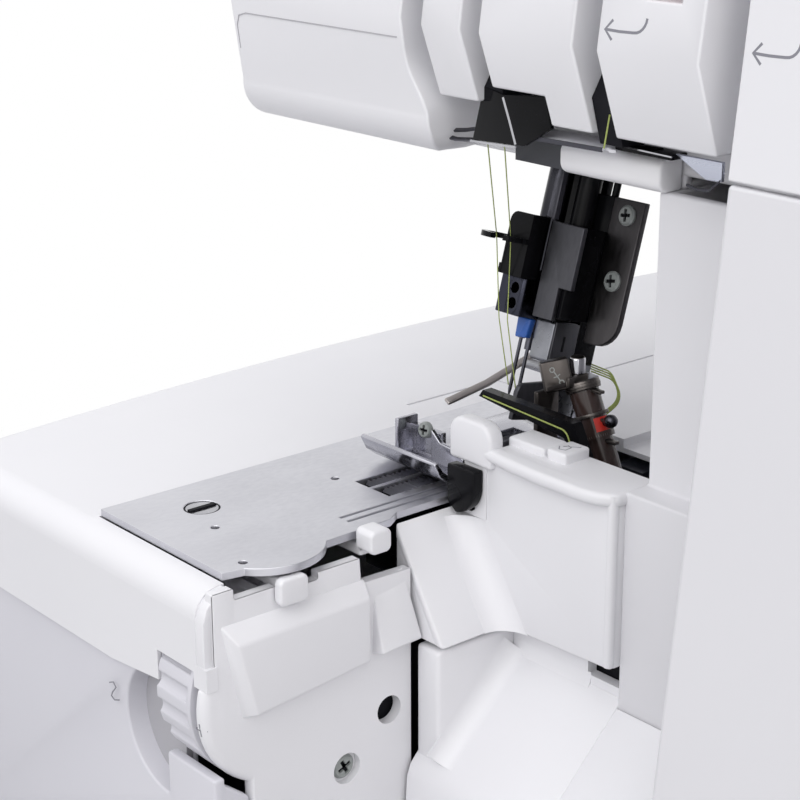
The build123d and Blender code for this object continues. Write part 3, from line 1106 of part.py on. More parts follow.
def needle_threads():
    """Two threads from the head's guide, through the hook and past the clamp, to the needles' eyes."""
    group = []
    top_y, top_z, bend, spread = -64.9, 209.2, 4, 2.7
    u, v, w = HOOK_CENTRE
    for (across, _, tip), top_x, side in zip(NEEDLES, (-27.2, -21.4), (-spread, spread)):
        hook = (NEEDLE * Pos(u + side, v, w)).position
        below_clamp = (NEEDLE * Pos(across, -9.8, 35)).position
        eye = (NEEDLE * Pos(across, -0.9, tip + NEEDLE_EYE_ABOVE_TIP)).position
        group.append(tube([Vector(top_x, top_y, top_z), hook, below_clamp, eye], bend, THREAD_RADIUS))
    return join(group)


def looper_thread():
    y = UPPER_LOOPER_Y - LOOPER_HALF_THICK - THREAD_RADIUS - 0.05
    return tube([(-47.5, y, 137.2), (-17, y, 135.6), (-12.5, y, 126)], 3, THREAD_RADIUS)


def thread_loop():
    """Slack of the threads behind the foot, four strands side by side."""
    strands = []
    strand_count, step, bend = 4, 0.9, 4
    for i in range(strand_count):
        drop = step * i
        back = 0.5 * i
        points = [
            (-47.0, -9.0 + back, 138.5 - drop),
            (-38.0, -9.0 + back, 138.0 - drop),
            (-33.0 - drop, -9.5 + back, 131.5 - 0.3 * drop),
            (-38.0, -12.5 + back, 125.5 + 0.7 * drop),
        ]
        strands.append(tube(points, bend, THREAD_RADIUS))
    return join(strands)


NODES = {
    "base_tray": base_tray,
    "rubber_feet": rubber_feet,
    "frame_casting": frame_casting,
    "bed_cover": bed_cover,
    "bed_front_panel": bed_front_panel,
    "bed_side_panel": bed_side_panel,
    "needle_plate": needle_plate,
    "needle_plate_screw": needle_plate_screw,
    "feed_dog_front": lambda: feed_dog(*FEED_FRONT_Y),
    "feed_dog_rear": lambda: feed_dog(*FEED_REAR_Y),
    "cutting_width_dial": cutting_width_dial,
    "stitch_finger_lever": stitch_finger_lever,
    "knife_release_lever": knife_release_lever,
    "shaft_bushes": shaft_bushes,
    "main_shaft": main_shaft,
    "handwheel": handwheel,
    "motor": motor,
    "motor_pulley": motor_pulley,
    "drive_belt": drive_belt,
    "column_cover": column_cover,
    "front_panel": front_panel,
    "front_panel_hinge_rod": front_panel_hinge_rod,
    "chute": chute,
    "looper_guard": looper_guard,
    "lower_knife_holder": lower_knife_holder,
    "lower_knife": lower_knife,
    "needle_bar": needle_bar,
    "needle_clamp": needle_clamp,
    "needles": needles,
    "needle_thread_guide": needle_thread_guide,
    "presser_bar": presser_bar,
    "presser_bracket": presser_bracket,
    "bracket_screws": bracket_screws,
    "foot_ankle": foot_ankle,
    "presser_foot": presser_foot,
    "presser_lifter": presser_lifter,
    "pressure_knob": pressure_knob,
    "upper_looper": upper_looper,
    "lower_looper": lower_looper,
    "upper_knife_arm": upper_knife_arm,
    "upper_knife_block": upper_knife_block,
    "head_front_cover": head_front_cover,
    "head_shell": head_shell,
    "tension_dial_left_needle": lambda: tension_dial(0),
    "tension_dial_right_needle": lambda: tension_dial(1),
    "tension_dial_upper_looper": lambda: tension_dial(2),
    "tension_dial_lower_looper": lambda: tension_dial(3),
    "arm_bar": arm_bar,
    "take_up_guard": take_up_guard,
    "head_thread_guides": head_thread_guides,
    "stitch_length_dial": lambda: side_dial(*LENGTH_DIAL),
    "differential_dial": lambda: side_dial(*DIFFERENTIAL_DIAL),
    "power_switch": power_switch,
    "power_inlet": power_inlet,
    "spool_stand": spool_stand,
    "guide_pole_tube": guide_pole_tube,
    "guide_pole_rod": guide_pole_rod,
    "needle_threads": needle_threads,
    "looper_thread": looper_thread,
    "thread_loop": thread_loop,
}

if __name__ == "__main__":
    os.makedirs("parts", exist_ok=True)
    for name, make in NODES.items():
        export_step(make(), f"parts/{name}.step")
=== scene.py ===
# Overlock sewing machine: finishes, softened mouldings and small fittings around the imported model.
# Lengths are written in millimetres and turned into metres by MM.
import json
import math

import bmesh
import bpy
from mathutils import Matrix, Vector
from mathutils.bvhtree import BVHTree


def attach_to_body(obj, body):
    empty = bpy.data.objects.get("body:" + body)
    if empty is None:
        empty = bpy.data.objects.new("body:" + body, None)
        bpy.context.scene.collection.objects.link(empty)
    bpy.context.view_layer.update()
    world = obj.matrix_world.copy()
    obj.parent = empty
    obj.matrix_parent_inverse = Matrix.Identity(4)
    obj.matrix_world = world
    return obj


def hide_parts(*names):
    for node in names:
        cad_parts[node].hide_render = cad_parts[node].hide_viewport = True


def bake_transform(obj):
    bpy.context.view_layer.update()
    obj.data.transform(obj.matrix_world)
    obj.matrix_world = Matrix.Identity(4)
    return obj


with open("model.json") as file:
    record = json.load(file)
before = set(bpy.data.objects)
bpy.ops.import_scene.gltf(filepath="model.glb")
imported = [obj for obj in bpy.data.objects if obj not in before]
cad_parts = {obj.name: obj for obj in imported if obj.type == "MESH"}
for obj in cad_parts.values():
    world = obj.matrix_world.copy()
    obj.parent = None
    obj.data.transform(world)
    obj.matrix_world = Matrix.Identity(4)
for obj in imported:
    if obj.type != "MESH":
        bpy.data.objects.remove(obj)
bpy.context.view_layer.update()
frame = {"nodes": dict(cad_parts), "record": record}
NODES = frame["nodes"]
BODY_OF = {node: body for body, nodes in frame["record"]["behaviour"]["bodies"].items() for node in nodes}
SLOT_OF = {part["node"]: part["material_slot"] for part in frame["record"]["subparts"]}
MM = 0.001

# Camera, as fitted to the photograph
CAMERA_PLACE = (297.2, -364.2, 293.3)
CAMERA_AZIMUTH = 50.0
CAMERA_ELEVATION = 18.56
CAMERA_ROLL = -0.29
CAMERA_LENS = 85.6

# Bars lean back by this angle and face this way; their frames stand on the needle plate
LEAN = math.radians(16)
BAR_FRONT = (0, -math.cos(LEAN), math.sin(LEAN))
PLATE_TOP = 118.0
NEEDLE_FOOT = (-53.0, -35.0)
PRESSER_FOOT = (-42.0, -23.3)

# Top of the base tray, where the lower panels stand
TRAY_TOP = 10.0

# Head front: the bend of its faces, and their lean above it, on the right block and below it
BEND_Y, BEND_Z = -74.0, 235.5
UPPER_LEAN = math.tan(math.radians(8))
PANEL_LEAN = math.tan(math.radians(6.5))
LOWER_LEAN = 0.163

# Upper knife's tube, from its pivot to its end
KNIFE_PIVOT = Vector((-7.4, -30.0, 96.0))
KNIFE_TOP = Vector((-27.6, -30.0, 140.0))
KNIFE_TUBE_RADIUS = 3.9

# Outer face of the side panel below the needle plate
PANEL_FACE = -29.5

# Edges sharper than this angle are rounded, in this many steps
SHARP_ANGLE = 32
ROUND_STEPS = 3

# Points this close are merged, and so are faces this flat to each other
MERGE_DISTANCE = 0.002
FLAT_ANGLE = 0.6

# Radius of a turned profile where it meets its axis
ON_AXIS = 0.01


# Node helpers

def add_node(tree, kind, inputs, **settings):
    """Adds a node with its settings, and links each input to a socket or gives it a value."""
    node = tree.nodes.new(kind)
    for name, value in settings.items():
        setattr(node, name, value)
    for label, value in inputs.items():
        if isinstance(value, bpy.types.NodeSocket):
            tree.links.new(value, node.inputs[label])
        else:
            node.inputs[label].default_value = value
    return node


class Finish:
    """A node material with a Principled shader, grown by adding grain to its sockets."""

    def __init__(self, name, colour, roughness, metallic=0.0):
        self.material = bpy.data.materials.new(name)
        self.material.use_nodes = True
        self.tree = self.material.node_tree
        self.shader = self.tree.nodes["Principled BSDF"]
        self.colour = colour
        self.roughness = roughness
        self.set("Metallic", metallic).set("Roughness", roughness).set("Base Color", (*colour, 1))

    def set(self, socket, value):
        self.shader.inputs[socket].default_value = value
        return self

    def feed(self, socket, value):
        self.tree.links.new(value, self.shader.inputs[socket])
        return self

    def noise(self, scale, stretch=(1, 1, 1), detail=3.0):
        """Noise on Object coordinates, in features per metre."""
        place = self.tree.nodes.new("ShaderNodeTexCoord").outputs["Object"]
        mapping = add_node(self.tree, "ShaderNodeMapping", {"Vector": place, "Scale": stretch})
        inputs = {"Vector": mapping.outputs["Vector"], "Scale": scale, "Detail": detail}
        return add_node(self.tree, "ShaderNodeTexNoise", inputs).outputs["Fac"]

    def ranged(self, factor, low, high, new_low, new_high):
        inputs = {"Value": factor, "From Min": low, "From Max": high, "To Min": new_low, "To Max": new_high}
        return add_node(self.tree, "ShaderNodeMapRange", inputs).outputs["Result"]

    def tint(self, other, factor):
        """Blends the base colour towards another one where the factor is high."""
        inputs = {"A": (*self.colour, 1), "B": (*other, 1), "Factor": self.ranged(factor, 0.35, 0.65, 0, 1)}
        mix = add_node(self.tree, "ShaderNodeMix", inputs, data_type="RGBA")
        return self.feed("Base Color", mix.outputs["Result"])

    def rough(self, factor, spread):
        """Varies the roughness about its own value."""
        low, high = self.roughness - spread, self.roughness + spread
        return self.feed("Roughness", self.ranged(factor, 0.3, 0.7, low, high))

    def relief(self, factor, height, strength):
        """Adds a bump of the given height in millimetres."""
        inputs = {"Height": factor, "Distance": height * MM, "Strength": strength}
        return self.feed("Normal", add_node(self.tree, "ShaderNodeBump", inputs).outputs["Normal"])


def moulded(name, colour, shade, roughness=0.42):
    """Satin moulded plastic with a fine spark-eroded grain and soft flow marks."""
    finish = Finish(name, colour, roughness)
    finish.tint(shade, finish.noise(7, detail=2))
    finish.rough(finish.noise(45), 0.05)
    return finish.relief(finish.noise(1600, detail=2), 0.012, 0.5).material


def gloss_black(name, colour=(0.004, 0.004, 0.005), roughness=0.2, shine=0.1):
    """Black lacquer or glossy plastic with faint wipe marks."""
    finish = Finish(name, colour, roughness).set("Specular IOR Level", shine)
    finish.tint(tuple(1.6 * part + 0.001 for part in colour), finish.noise(60))
    finish.rough(finish.noise(180, (1, 1, 0.15)), 0.06)
    return finish.relief(finish.noise(420), 0.01, 0.4).material


def steel(name, colour, shade, roughness, stretch, height=0.01):
    """Metal with a drawn or ground grain that runs along the short axis of the stretch."""
    finish = Finish(name, colour, roughness, 1.0)
    grain = finish.noise(900, stretch, 4)
    finish.tint(shade, finish.noise(70, stretch, 4))
    finish.rough(grain, 0.1)
    return finish.relief(grain, height, 0.6).material


WHITE = moulded("white_moulding", (0.80, 0.797, 0.82), (0.785, 0.782, 0.808))
# Arm bar white is brighter than the other mouldings: painted light against the shade under the head
ARM_LIT_WHITE = moulded("arm_moulding_painted_light", (0.88, 0.875, 0.89), (0.86, 0.855, 0.87), 0.38)
COLUMN_WHITE = moulded("column_moulding", (0.735, 0.73, 0.755), (0.72, 0.715, 0.74))
PALE = moulded("pale_moulding", (0.66, 0.655, 0.70), (0.64, 0.635, 0.68), 0.48)
GREY = moulded("grey_moulding", (0.52, 0.53, 0.56), (0.48, 0.49, 0.52), 0.46)
RUBBER = moulded("foot_rubber", (0.03, 0.03, 0.03), (0.05, 0.05, 0.05), 0.75)
BLACK = gloss_black("black_lacquer")
BLACK_PLASTIC = gloss_black("black_gloss_plastic", (0.003, 0.003, 0.004), 0.12, 0.12)
# Painted shade: black laid in recesses, slots, notches and openings where only shade falls
PAINTED_SHADE_BLACK = gloss_black("painted_shade_inside", (0.006, 0.006, 0.008), 0.6, 0.1)
ALONG_Y, ALONG_Z, ALONG_X = (1, 0.04, 1), (1, 1, 0.04), (0.04, 1, 1)
PLATE_STEEL = steel("brushed_plate_steel", (0.62, 0.62, 0.66), (0.57, 0.57, 0.61), 0.4, (1, 0.5, 1))
BRIGHT_STEEL = steel("polished_steel", (0.52, 0.52, 0.55), (0.4, 0.4, 0.43), 0.2, ALONG_Z)
# Needle bar steel darkened: a painted dark reflection on polished steel
BAR_STEEL = steel("polished_bar_painted_dark_reflection", (0.06, 0.06, 0.07), (0.03, 0.03, 0.036), 0.16, ALONG_Z)
DARK_STEEL = steel("dark_ground_steel", (0.10, 0.10, 0.12), (0.05, 0.05, 0.06), 0.34, ALONG_X)
GUNMETAL = steel("gunmetal_sheet", (0.085, 0.08, 0.083), (0.06, 0.057, 0.06), 0.42, ALONG_Z)
GUARD_GREY = steel("grey_guard_sheet", (0.09, 0.09, 0.10), (0.075, 0.075, 0.085), 0.5, ALONG_Z)
CLAMP_STEEL = steel("blued_clamp_steel", (0.055, 0.057, 0.076), (0.034, 0.035, 0.05), 0.26, ALONG_Z)
ANKLE_STEEL = steel("satin_foot_steel", (0.30, 0.305, 0.335), (0.2, 0.205, 0.23), 0.34, ALONG_Y)
FOOT_STEEL = steel("polished_foot_steel", (0.50, 0.50, 0.55), (0.4, 0.4, 0.44), 0.22, ALONG_Y)
BRONZE = steel("dark_bronze", (0.135, 0.122, 0.115), (0.085, 0.076, 0.072), 0.38, ALONG_Z)
FINGER_STEEL = steel("warm_spring_steel", (0.55, 0.51, 0.49), (0.42, 0.39, 0.37), 0.4, ALONG_Y)
SCREW_STEEL = moulded("zinc_screw", (0.3, 0.32, 0.31), (0.25, 0.27, 0.26), 0.3)
# Guide plate steel drawn as light satin: a painted bright reflection on the steel sheet
PAINTED_REFLECTION_SHEET = moulded("satin_sheet_painted_reflection", (0.8, 0.8, 0.84), (0.72, 0.72, 0.76), 0.3)
BLUISH_STEEL = steel("bluish_sheet_steel", (0.55, 0.57, 0.66), (0.47, 0.49, 0.58), 0.3, ALONG_X)
BROWN_TUBE = gloss_black("brown_lacquer", (0.028, 0.017, 0.015), 0.2, 0.5)
CASTING = moulded("casting_paint", (0.022, 0.024, 0.035), (0.018, 0.02, 0.028), 0.4)
MOTOR_PAINT = moulded("motor_paint", (0.05, 0.05, 0.055), (0.07, 0.07, 0.075), 0.4)
DIAL_COLOURS = {
    "tension_dial_left_needle": moulded("blue_wheel", (0.10, 0.2, 0.5), (0.08, 0.17, 0.45), 0.35),
    "tension_dial_right_needle": moulded("amber_wheel", (0.6, 0.42, 0.05), (0.55, 0.38, 0.04), 0.35),
    "tension_dial_upper_looper": moulded("green_wheel", (0.1, 0.3, 0.12), (0.08, 0.26, 0.1), 0.35),
    "tension_dial_lower_looper": moulded("red_wheel", (0.5, 0.08, 0.07), (0.45, 0.07, 0.06), 0.35),
}
MARK_GREY = moulded("printed_grey", (0.24, 0.24, 0.27), (0.22, 0.22, 0.25), 0.5)
# Grey of painted shade in a groove and in the hollow behind the finger scoop
PAINTED_SHADE_GREY = moulded("seam_shade", (0.45, 0.445, 0.47), (0.42, 0.415, 0.44), 0.6)
BLUE_SEAT = moulded("blue_seat", (0.03, 0.12, 0.45), (0.02, 0.1, 0.4), 0.3)
RED_MARK = moulded("red_paint_mark", (0.6, 0.03, 0.02), (0.5, 0.03, 0.02), 0.35)


def thread_finish():
    """Spun thread: yellow-green with a fine twist along its length."""
    finish = Finish("spun_thread", (0.33, 0.40, 0.09), 0.65)
    finish.tint((0.46, 0.53, 0.17), finish.noise(2600))
    return finish.relief(finish.noise(3000), 0.03, 0.7).material


THREAD = thread_finish()


# Mesh helpers

def mesh_object(name, mesh):
    mesh.name = name
    piece = bpy.data.objects.new(name, mesh)
    bpy.context.scene.collection.objects.link(piece)
    return piece


def attach(piece, body, slot, material, *replaced):
    """Gives a finished piece its material and body, and hides the nodes it stands for; the slot is not used.
    """
    piece.data.materials.clear()
    piece.data.materials.append(material)
    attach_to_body(piece, body)
    if replaced:
        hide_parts(*replaced)
    return piece


def stand_in(piece, node, material):
    """Attaches a piece in place of the solid of a node."""
    return attach(piece, BODY_OF[node], SLOT_OF[node], material, node)


def taken(piece):
    """The mesh of a working piece, which goes."""
    mesh = piece.data.copy()
    bpy.data.objects.remove(piece)
    return mesh


def shade(mesh, angle=35):
    mesh.shade_smooth()
    mesh.set_sharp_from_angle(angle=math.radians(angle))


def settled(piece):
    """Applies every modifier, leaving a plain mesh."""
    graph = bpy.context.evaluated_depsgraph_get()
    mesh = bpy.data.meshes.new_from_object(piece.evaluated_get(graph))
    piece.modifiers.clear()
    piece.data = mesh
    return piece


def bevelled(piece, width, angle=SHARP_ANGLE):
    """Adds a bevel to the edges of a piece that are sharper than the angle."""
    bevel = piece.modifiers.new("edges", "BEVEL")
    bevel.limit_method = "ANGLE"
    bevel.angle_limit = math.radians(angle)
    bevel.width = width * MM
    bevel.segments = ROUND_STEPS
    bevel.use_clamp_overlap = False
    return bevel


def rounded(piece, width, angle=SHARP_ANGLE):
    """Rounds the edges of a piece that are sharper than the angle, and smooths its shading."""
    bevelled(piece, width, angle).miter_outer = "MITER_ARC"
    settled(piece)
    shade(piece.data)
    return piece


def cleaned(node, flat_angle=FLAT_ANGLE):
    """A copy of a node's solid with its doubled points merged, and its facets up to the flat angle."""
    mesh = NODES[node].data.copy()
    mesh.materials.clear()
    work = bmesh.new()
    work.from_mesh(mesh)
    bmesh.ops.remove_doubles(work, verts=work.verts, dist=MERGE_DISTANCE * MM)
    if flat_angle:
        limit = math.radians(flat_angle)
        bmesh.ops.dissolve_limit(work, angle_limit=limit, verts=work.verts, edges=work.edges)
    work.to_mesh(mesh)
    work.free()
    return mesh_object(f"{node}_soft", mesh)


def held(piece, node, width):
    """Sets points that a bevel threw off the solid of a node back on it."""
    solid = NODES[node].data
    places = [point.co for point in solid.vertices]
    tree = BVHTree.FromPolygons(places, [face.vertices for face in solid.polygons])
    for point in piece.data.vertices:
        nearest, _, _, distance = tree.find_nearest(point.co)
        if distance > width * MM:
            point.co = nearest
    return piece


def softened(node, material, width):
    """The solid of a node with its edges rounded by a bevel of the given width."""
    return stand_in(held(rounded(cleaned(node), width), node, width), node, material)


def evenly_softened(node, material, width):
    """A holed solid with rounded edges: its facets stay, and its flat faces keep their own normals."""
    piece = cleaned(node, flat_angle=0)
    piece.data.shade_smooth()
    bevelled(piece, width).loop_slide = False
    held(settled(piece), node, width)
    normals = piece.modifiers.new("normals", "WEIGHTED_NORMAL")
    normals.mode = "FACE_AREA"
    normals.weight = 100
    return stand_in(settled(piece), node, material)


def lofted(loops, ring=False):
    """A closed shell through loops of points in millimetres, capped at both ends or closed into a ring."""
    work = bmesh.new()
    rings = [[work.verts.new(Vector(point) * MM) for point in loop] for loop in loops]
    count = len(loops[0])
    for one, two in zip(rings, rings[1:] + rings[:1] if ring else rings[1:]):
        for i in range(count):
            j = (i + 1) % count
            work.faces.new((one[i], one[j], two[j], two[i]))
    if not ring:
        work.faces.new(rings[0])
        work.faces.new(list(reversed(rings[-1])))
    bmesh.ops.recalc_face_normals(work, faces=work.faces)
    mesh = bpy.data.meshes.new("shape")
    work.to_mesh(mesh)
    work.free()
    return mesh


def joined(meshes):
    """Several meshes in one."""
    work = bmesh.new()
    for mesh in meshes:
        work.from_mesh(mesh)
        bpy.data.meshes.remove(mesh)
    mesh = bpy.data.meshes.new("shape")
    work.to_mesh(mesh)
    work.free()
    return mesh


def rectangle(a0, a1, b0, b1):
    """Corners of a rectangle between two values on each of its axes."""
    return [(a0, b0), (a1, b0), (a1, b1), (a0, b1)]


def box_mesh(low, high):
    """A box between two corners in millimetres."""
    (x0, y0, z0), (x1, y1, z1) = low, high
    return lofted([[(x, y, z) for x, y in rectangle(x0, x1, y0, y1)] for z in (z0, z1)])


def cut(piece, *tools):
    """Takes closed meshes out of a piece."""
    cutter = mesh_object("cutter", joined(list(tools)))
    boolean = piece.modifiers.new("cut", "BOOLEAN")
    boolean.operation = "DIFFERENCE"
    boolean.solver = "EXACT"
    boolean.object = cutter
    settled(piece)
    bpy.data.objects.remove(cutter)
    return piece


def ribbon(points, half_width, normal, lift=0.05, thick=0.12):
    """A thin raised strip along a list of points in millimetres, facing along the normal."""
    up = Vector(normal).normalized()
    path = [Vector(point) + up * lift for point in points]
    loops = []
    for i, point in enumerate(path):
        ahead = path[min(i + 1, len(path) - 1)] - path[max(i - 1, 0)]
        side = ahead.cross(up).normalized() * half_width
        loops.append([point + side, point - side, point - side - up * thick, point + side - up * thick])
    return lofted(loops)


def arc_points(centre, radius, start, end, count):
    """Points of a flat arc, angles in degrees from its plane's first axis."""
    points = []
    for i in range(count + 1):
        angle = math.radians(start + (end - start) * i / count)
        points.append((centre[0] + radius * math.cos(angle), centre[1] + radius * math.sin(angle)))
    return points


def local_frame(place, axis):
    """Turns local coordinates, whose third one runs along the axis, into places in millimetres."""
    turn = Vector(axis).normalized().to_track_quat("Z", "Y").to_matrix()
    return lambda a, b, height: Vector(place) + turn @ Vector((a, b, height))


def prism(outline, low, high, at):
    """A closed prism of an outline in a frame, between two heights of it."""
    return lofted([[at(a, b, height) for a, b in outline] for height in (low, high)])


def slab(outline, axis, low, high):
    """A prism of an outline in the two other axes, in their order, along one axis."""
    places = {
        "x": lambda a, b, height: (height, a, b),
        "y": lambda a, b, height: (a, height, b),
        "z": lambda a, b, height: (a, b, height),
    }
    return prism(outline, low, high, places[axis])


def turned(place, axis, profile, ring=False, count=32):
    """A shape of revolution about an axis; the profile lists (radius, height)."""
    at = local_frame(place, axis)
    loops = []
    for radius, height in profile:
        angles = [2 * math.pi * i / count for i in range(count)]
        loops.append([at(radius * math.cos(angle), radius * math.sin(angle), height) for angle in angles])
    return lofted(loops, ring)


def fitted(name, mesh, body, slot, material, round_width=0.0):
    """A new small piece, ready to ride its body."""
    piece = mesh_object(name, mesh)
    if round_width:
        rounded(piece, round_width)
    shade(piece.data)
    return attach(piece, body, slot, material)


def moulding(name, mesh, material, round_width=0.0):
    """A new small piece on the machine's white mouldings."""
    return fitted(name, mesh, "machine", "white_plastic", material, round_width)


def printed(name, strips):
    """A grey mark on the white mouldings, of one or more strips."""
    return moulding(name, joined(strips), MARK_GREY)


def painted_shade_inside(name, mesh):
    """A face painted with shade black behind an opening of the machine."""
    return fitted(name, mesh, "machine", "black_plastic", PAINTED_SHADE_BLACK)


def round_shells(name, shells, node, material):
    """One piece in place of a node, from closed shells that each carry their own edge rounding."""
    meshes = []
    for mesh, width in shells:
        part = mesh_object("shell", mesh)
        if width:
            rounded(part, width)
        meshes.append(taken(part))
    piece = mesh_object(name, joined(meshes))
    shade(piece.data)
    return stand_in(piece, node, material)


def dome(radius, foot, side, shoulder, top):
    """Profile of a domed screw head, from the heights of its parts."""
    return [(ON_AXIS, foot), (radius, foot), (radius, side), (0.8 * radius, shoulder), (ON_AXIS, top)]


def cross_screw(name, place, axis, radius, height, body, spin=0.0):
    """A domed screw head whose cross recess is painted with shade black."""
    profile = dome(radius, 0, 0.45 * height, 0.85 * height, height)
    piece = mesh_object(name, turned(place, axis, profile))
    at = local_frame(place, axis)
    cos, sin = math.cos(math.radians(spin)), math.sin(math.radians(spin))
    long, wide = 0.6 * radius, 0.17 * radius

    def arms(low, high):
        bars = []
        for a, b in ((long, wide), (wide, long)):
            corners = [(x * cos - y * sin, x * sin + y * cos) for x, y in rectangle(-a, a, -b, b)]
            bars.append(prism(corners, low, high, at))
        return bars

    for arm in arms(0.3 * height, 2 * height):
        cut(piece, arm)
    shade(piece.data)
    attach(piece, body, "bright_steel", SCREW_STEEL)
    # Painted shade black inside the cross recess
    recess = joined(arms(0.25 * height, 0.5 * height))
    fitted(f"{name}_recess", recess, body, "black_metal", PAINTED_SHADE_BLACK)
    return piece


# Head front

def upper_y(z):
    """Front face of the head's blocks above their bend."""
    return BEND_Y + (z - BEND_Z) * UPPER_LEAN


def panel_y(z):
    """Front face of the head's right block."""
    return -72.0 + (z - 213.0) * PANEL_LEAN


def turn_arrow(name, tip, face):
    """A printed arrow that points left, its tail curling up at the right."""
    x, z = tip
    shaft = [(x + 0.3, z), (x + 4, z - 0.1), (x + 8, z)]
    curl = arc_points((x + 8.2, z + 3.2), 3.2, -90, 0, 6)
    wings = [(x + 2.0, z + 2.1), (x, z), (x + 2.2, z - 2.0)]
    strips = []
    for line in (shaft + curl[1:], wings):
        points = [(a, face(b), b) for a, b in line]
        strips.append(ribbon(points, 0.3, (0, -1, 0.1), 0.03, 0.06))
    return printed(name, strips)


def lower_y(z):
    """Front face of the head's left block below its bend."""
    return BEND_Y + (BEND_Z - z) * LOWER_LEAN


def dress_head():
    turn_arrow("turn_arrow_left", (17.8, 240.1), upper_y)
    turn_arrow("turn_arrow_right", (54.0, 238.6), panel_y)
    # Painted shade line along the shallow groove of the left block's inset panel
    path = [(-50, 231.6), (-80, 231.6), (-111, 231.6), (-114.2, 230.8), (-115.6, 228.2), (-115.8, 222)]
    strip = ribbon([(x, lower_y(z), z) for x, z in path], 0.14, (0, -1, 0), 0.03)
    moulding("panel_groove", strip, PAINTED_SHADE_GREY)
    # Painted shade inside two thread channels, and the thread that shows in one
    back, foot = -51, 213.6
    for name, x0, x1, top, front in (
        ("channel_dark_right", 8.8, 15.6, 233.0, -62.0),
        ("channel_dark_left", -27.1, -21.2, 231.0, -60.5),
    ):
        outline = [(front - 5.5, top - 9), (front, top), (back, top), (back, foot), (front - 2.5, foot)]
        painted_shade_inside(name, slab(outline, "x", x0, x1))
    start, end = Vector((12.6, -67.2, 213.4)), Vector((14.4, -67.6, 221.0))
    radius, length = 0.18, (end - start).length
    strand = turned(start, end - start, [(radius, 0), (radius, length)], count=10)
    fitted("channel_thread", strand, "machine", "thread", THREAD)
    take_up()
    head_guides()


def take_up():
    """Folded glossy sheet of the take-up guard, with a painted highlight strip along its ridge and a wire
    along its foot.
    """
    front, back = -66.0, -64.8
    foot = [(-31.3, 208.9), (-16.4, 209.6), (-13.6, 209.9)]
    top = [(-27.6, 222.0), (-21.0, 220.8), (-6.9, 222.1)]
    outline = [*foot, (-10.1, 212), (-5.2, 215.1), *reversed(top)]
    round_shells("take_up_sheet", [(slab(outline, "y", front, back), 0.2)], "take_up_guard", BLACK_PLASTIC)
    # Bright ridge strip: a painted highlight along the sheet's fold
    ridge = [(-16.5, 209.9), (-18.6, 215), (-20.9, 220.2)]
    wire = [(-32, 208.6), (-24, 208.9), (-16.6, 209.3)]
    for name, line, half_width, facing, thick in (
        ("take_up_ridge", ridge, 0.28, (0.3, -1, 0), 0.3),
        ("take_up_wire", wire, 0.25, (0, -1, 0), 0.4),
    ):
        strip = ribbon([(x, front, z) for x, z in line], half_width, facing, 0.1, thick)
        fitted(name, strip, "machine", "bright_steel", BRIGHT_STEEL)


def head_guides():
    """Thread guide sheets below the head: dark strips, a notched plate whose brightness is a painted
    reflection, a painted shade rim, a slot filled with painted shade black, and a bent end.
    """
    low, top = 211.6, 212.4
    notch = [(8.4, -63.4), (8.6, -62.2), (10.2, -62.0), (10.1, -63.2)]
    plate = [(-11.1, -65.0), *notch, (12, -62.8), (5.4, -54.4), (-15.2, -55.1)]
    round_shells("guide_plate", [(slab(plate, "z", low, top), 0.12)], "head_thread_guides", PAINTED_REFLECTION_SHEET)
    # Dark strip on the plate's rim: painted shade along its edge
    rim = [(x, y, top) for x, y in (plate[-1], *plate[:2])]
    edge = ribbon(rim, 0.22, (0, 0, 1), 0.06, 1.0)
    fitted("guide_plate_edge", edge, "machine", "dark_steel", DARK_STEEL)
    # Black box of painted shade in the guide slot, with a steel strip along its edge
    left, right = 11, 27.6
    slot = slab(rectangle(left, right, -62, -57), "z", 212.2, 213.4)
    fitted("guide_slot", slot, "machine", "black_metal", BLACK, 0.15)
    slot_edge = [(left, -62.1, 213.3), (right, -62.1, 213.0)]
    bright = ribbon(slot_edge, 0.16, (0, -1, 0.3), 0.05, 0.3)
    fitted("guide_slot_edge", bright, "machine", "bright_steel", BRIGHT_STEEL)
    bent = slab([(27.2, 213.5), (40.4, 213.6), (40.4, 209.4), (36, 209.2)], "y", -60.6, -59.6)
    fitted("guide_bent_end", bent, "machine", "bright_steel", BLUISH_STEEL, 0.15)
    hook = [(32.2, -62, 208), (35.4, -62.4, 207.6), (38.6, -62.4, 207.8), (40.4, -61, 210)]
    strip_low = [(-48.2, -63, 208), (-40.4, -63, 207.6), (-31.6, -64, 208.8)]
    strip_high = [(-45, -62, 209), (-38, -62, 210), (-32, -63, 211.4)]
    for name, points, half_width, facing in (
        ("guide_hook", hook, 0.28, (0, 0, 1)),
        ("guide_strip_low", strip_low, 0.5, (0, -0.6, 1)),
        ("guide_strip_high", strip_high, 0.5, (0, -0.6, 1)),
    ):
        strip = ribbon(points, half_width, facing, 0, 0.5)
        fitted(name, strip, "machine", "dark_steel", DARK_STEEL)


# Needle and presser

def leaned(foot, u, v, w):
    """A point in a leaning bar's own frame: u to the right, v to the back and w up along the bar."""
    y = foot[1] + v * math.cos(LEAN) + w * math.sin(LEAN)
    return (foot[0] + u, y, PLATE_TOP - v * math.sin(LEAN) + w * math.cos(LEAN))


def needle_place(u, w, v):
    return leaned(NEEDLE_FOOT, u, v, w)


def presser_place(u, w, v):
    return leaned(PRESSER_FOOT, u, v, w)


def presser_side(v, w, u):
    return leaned(PRESSER_FOOT, u, v, w)


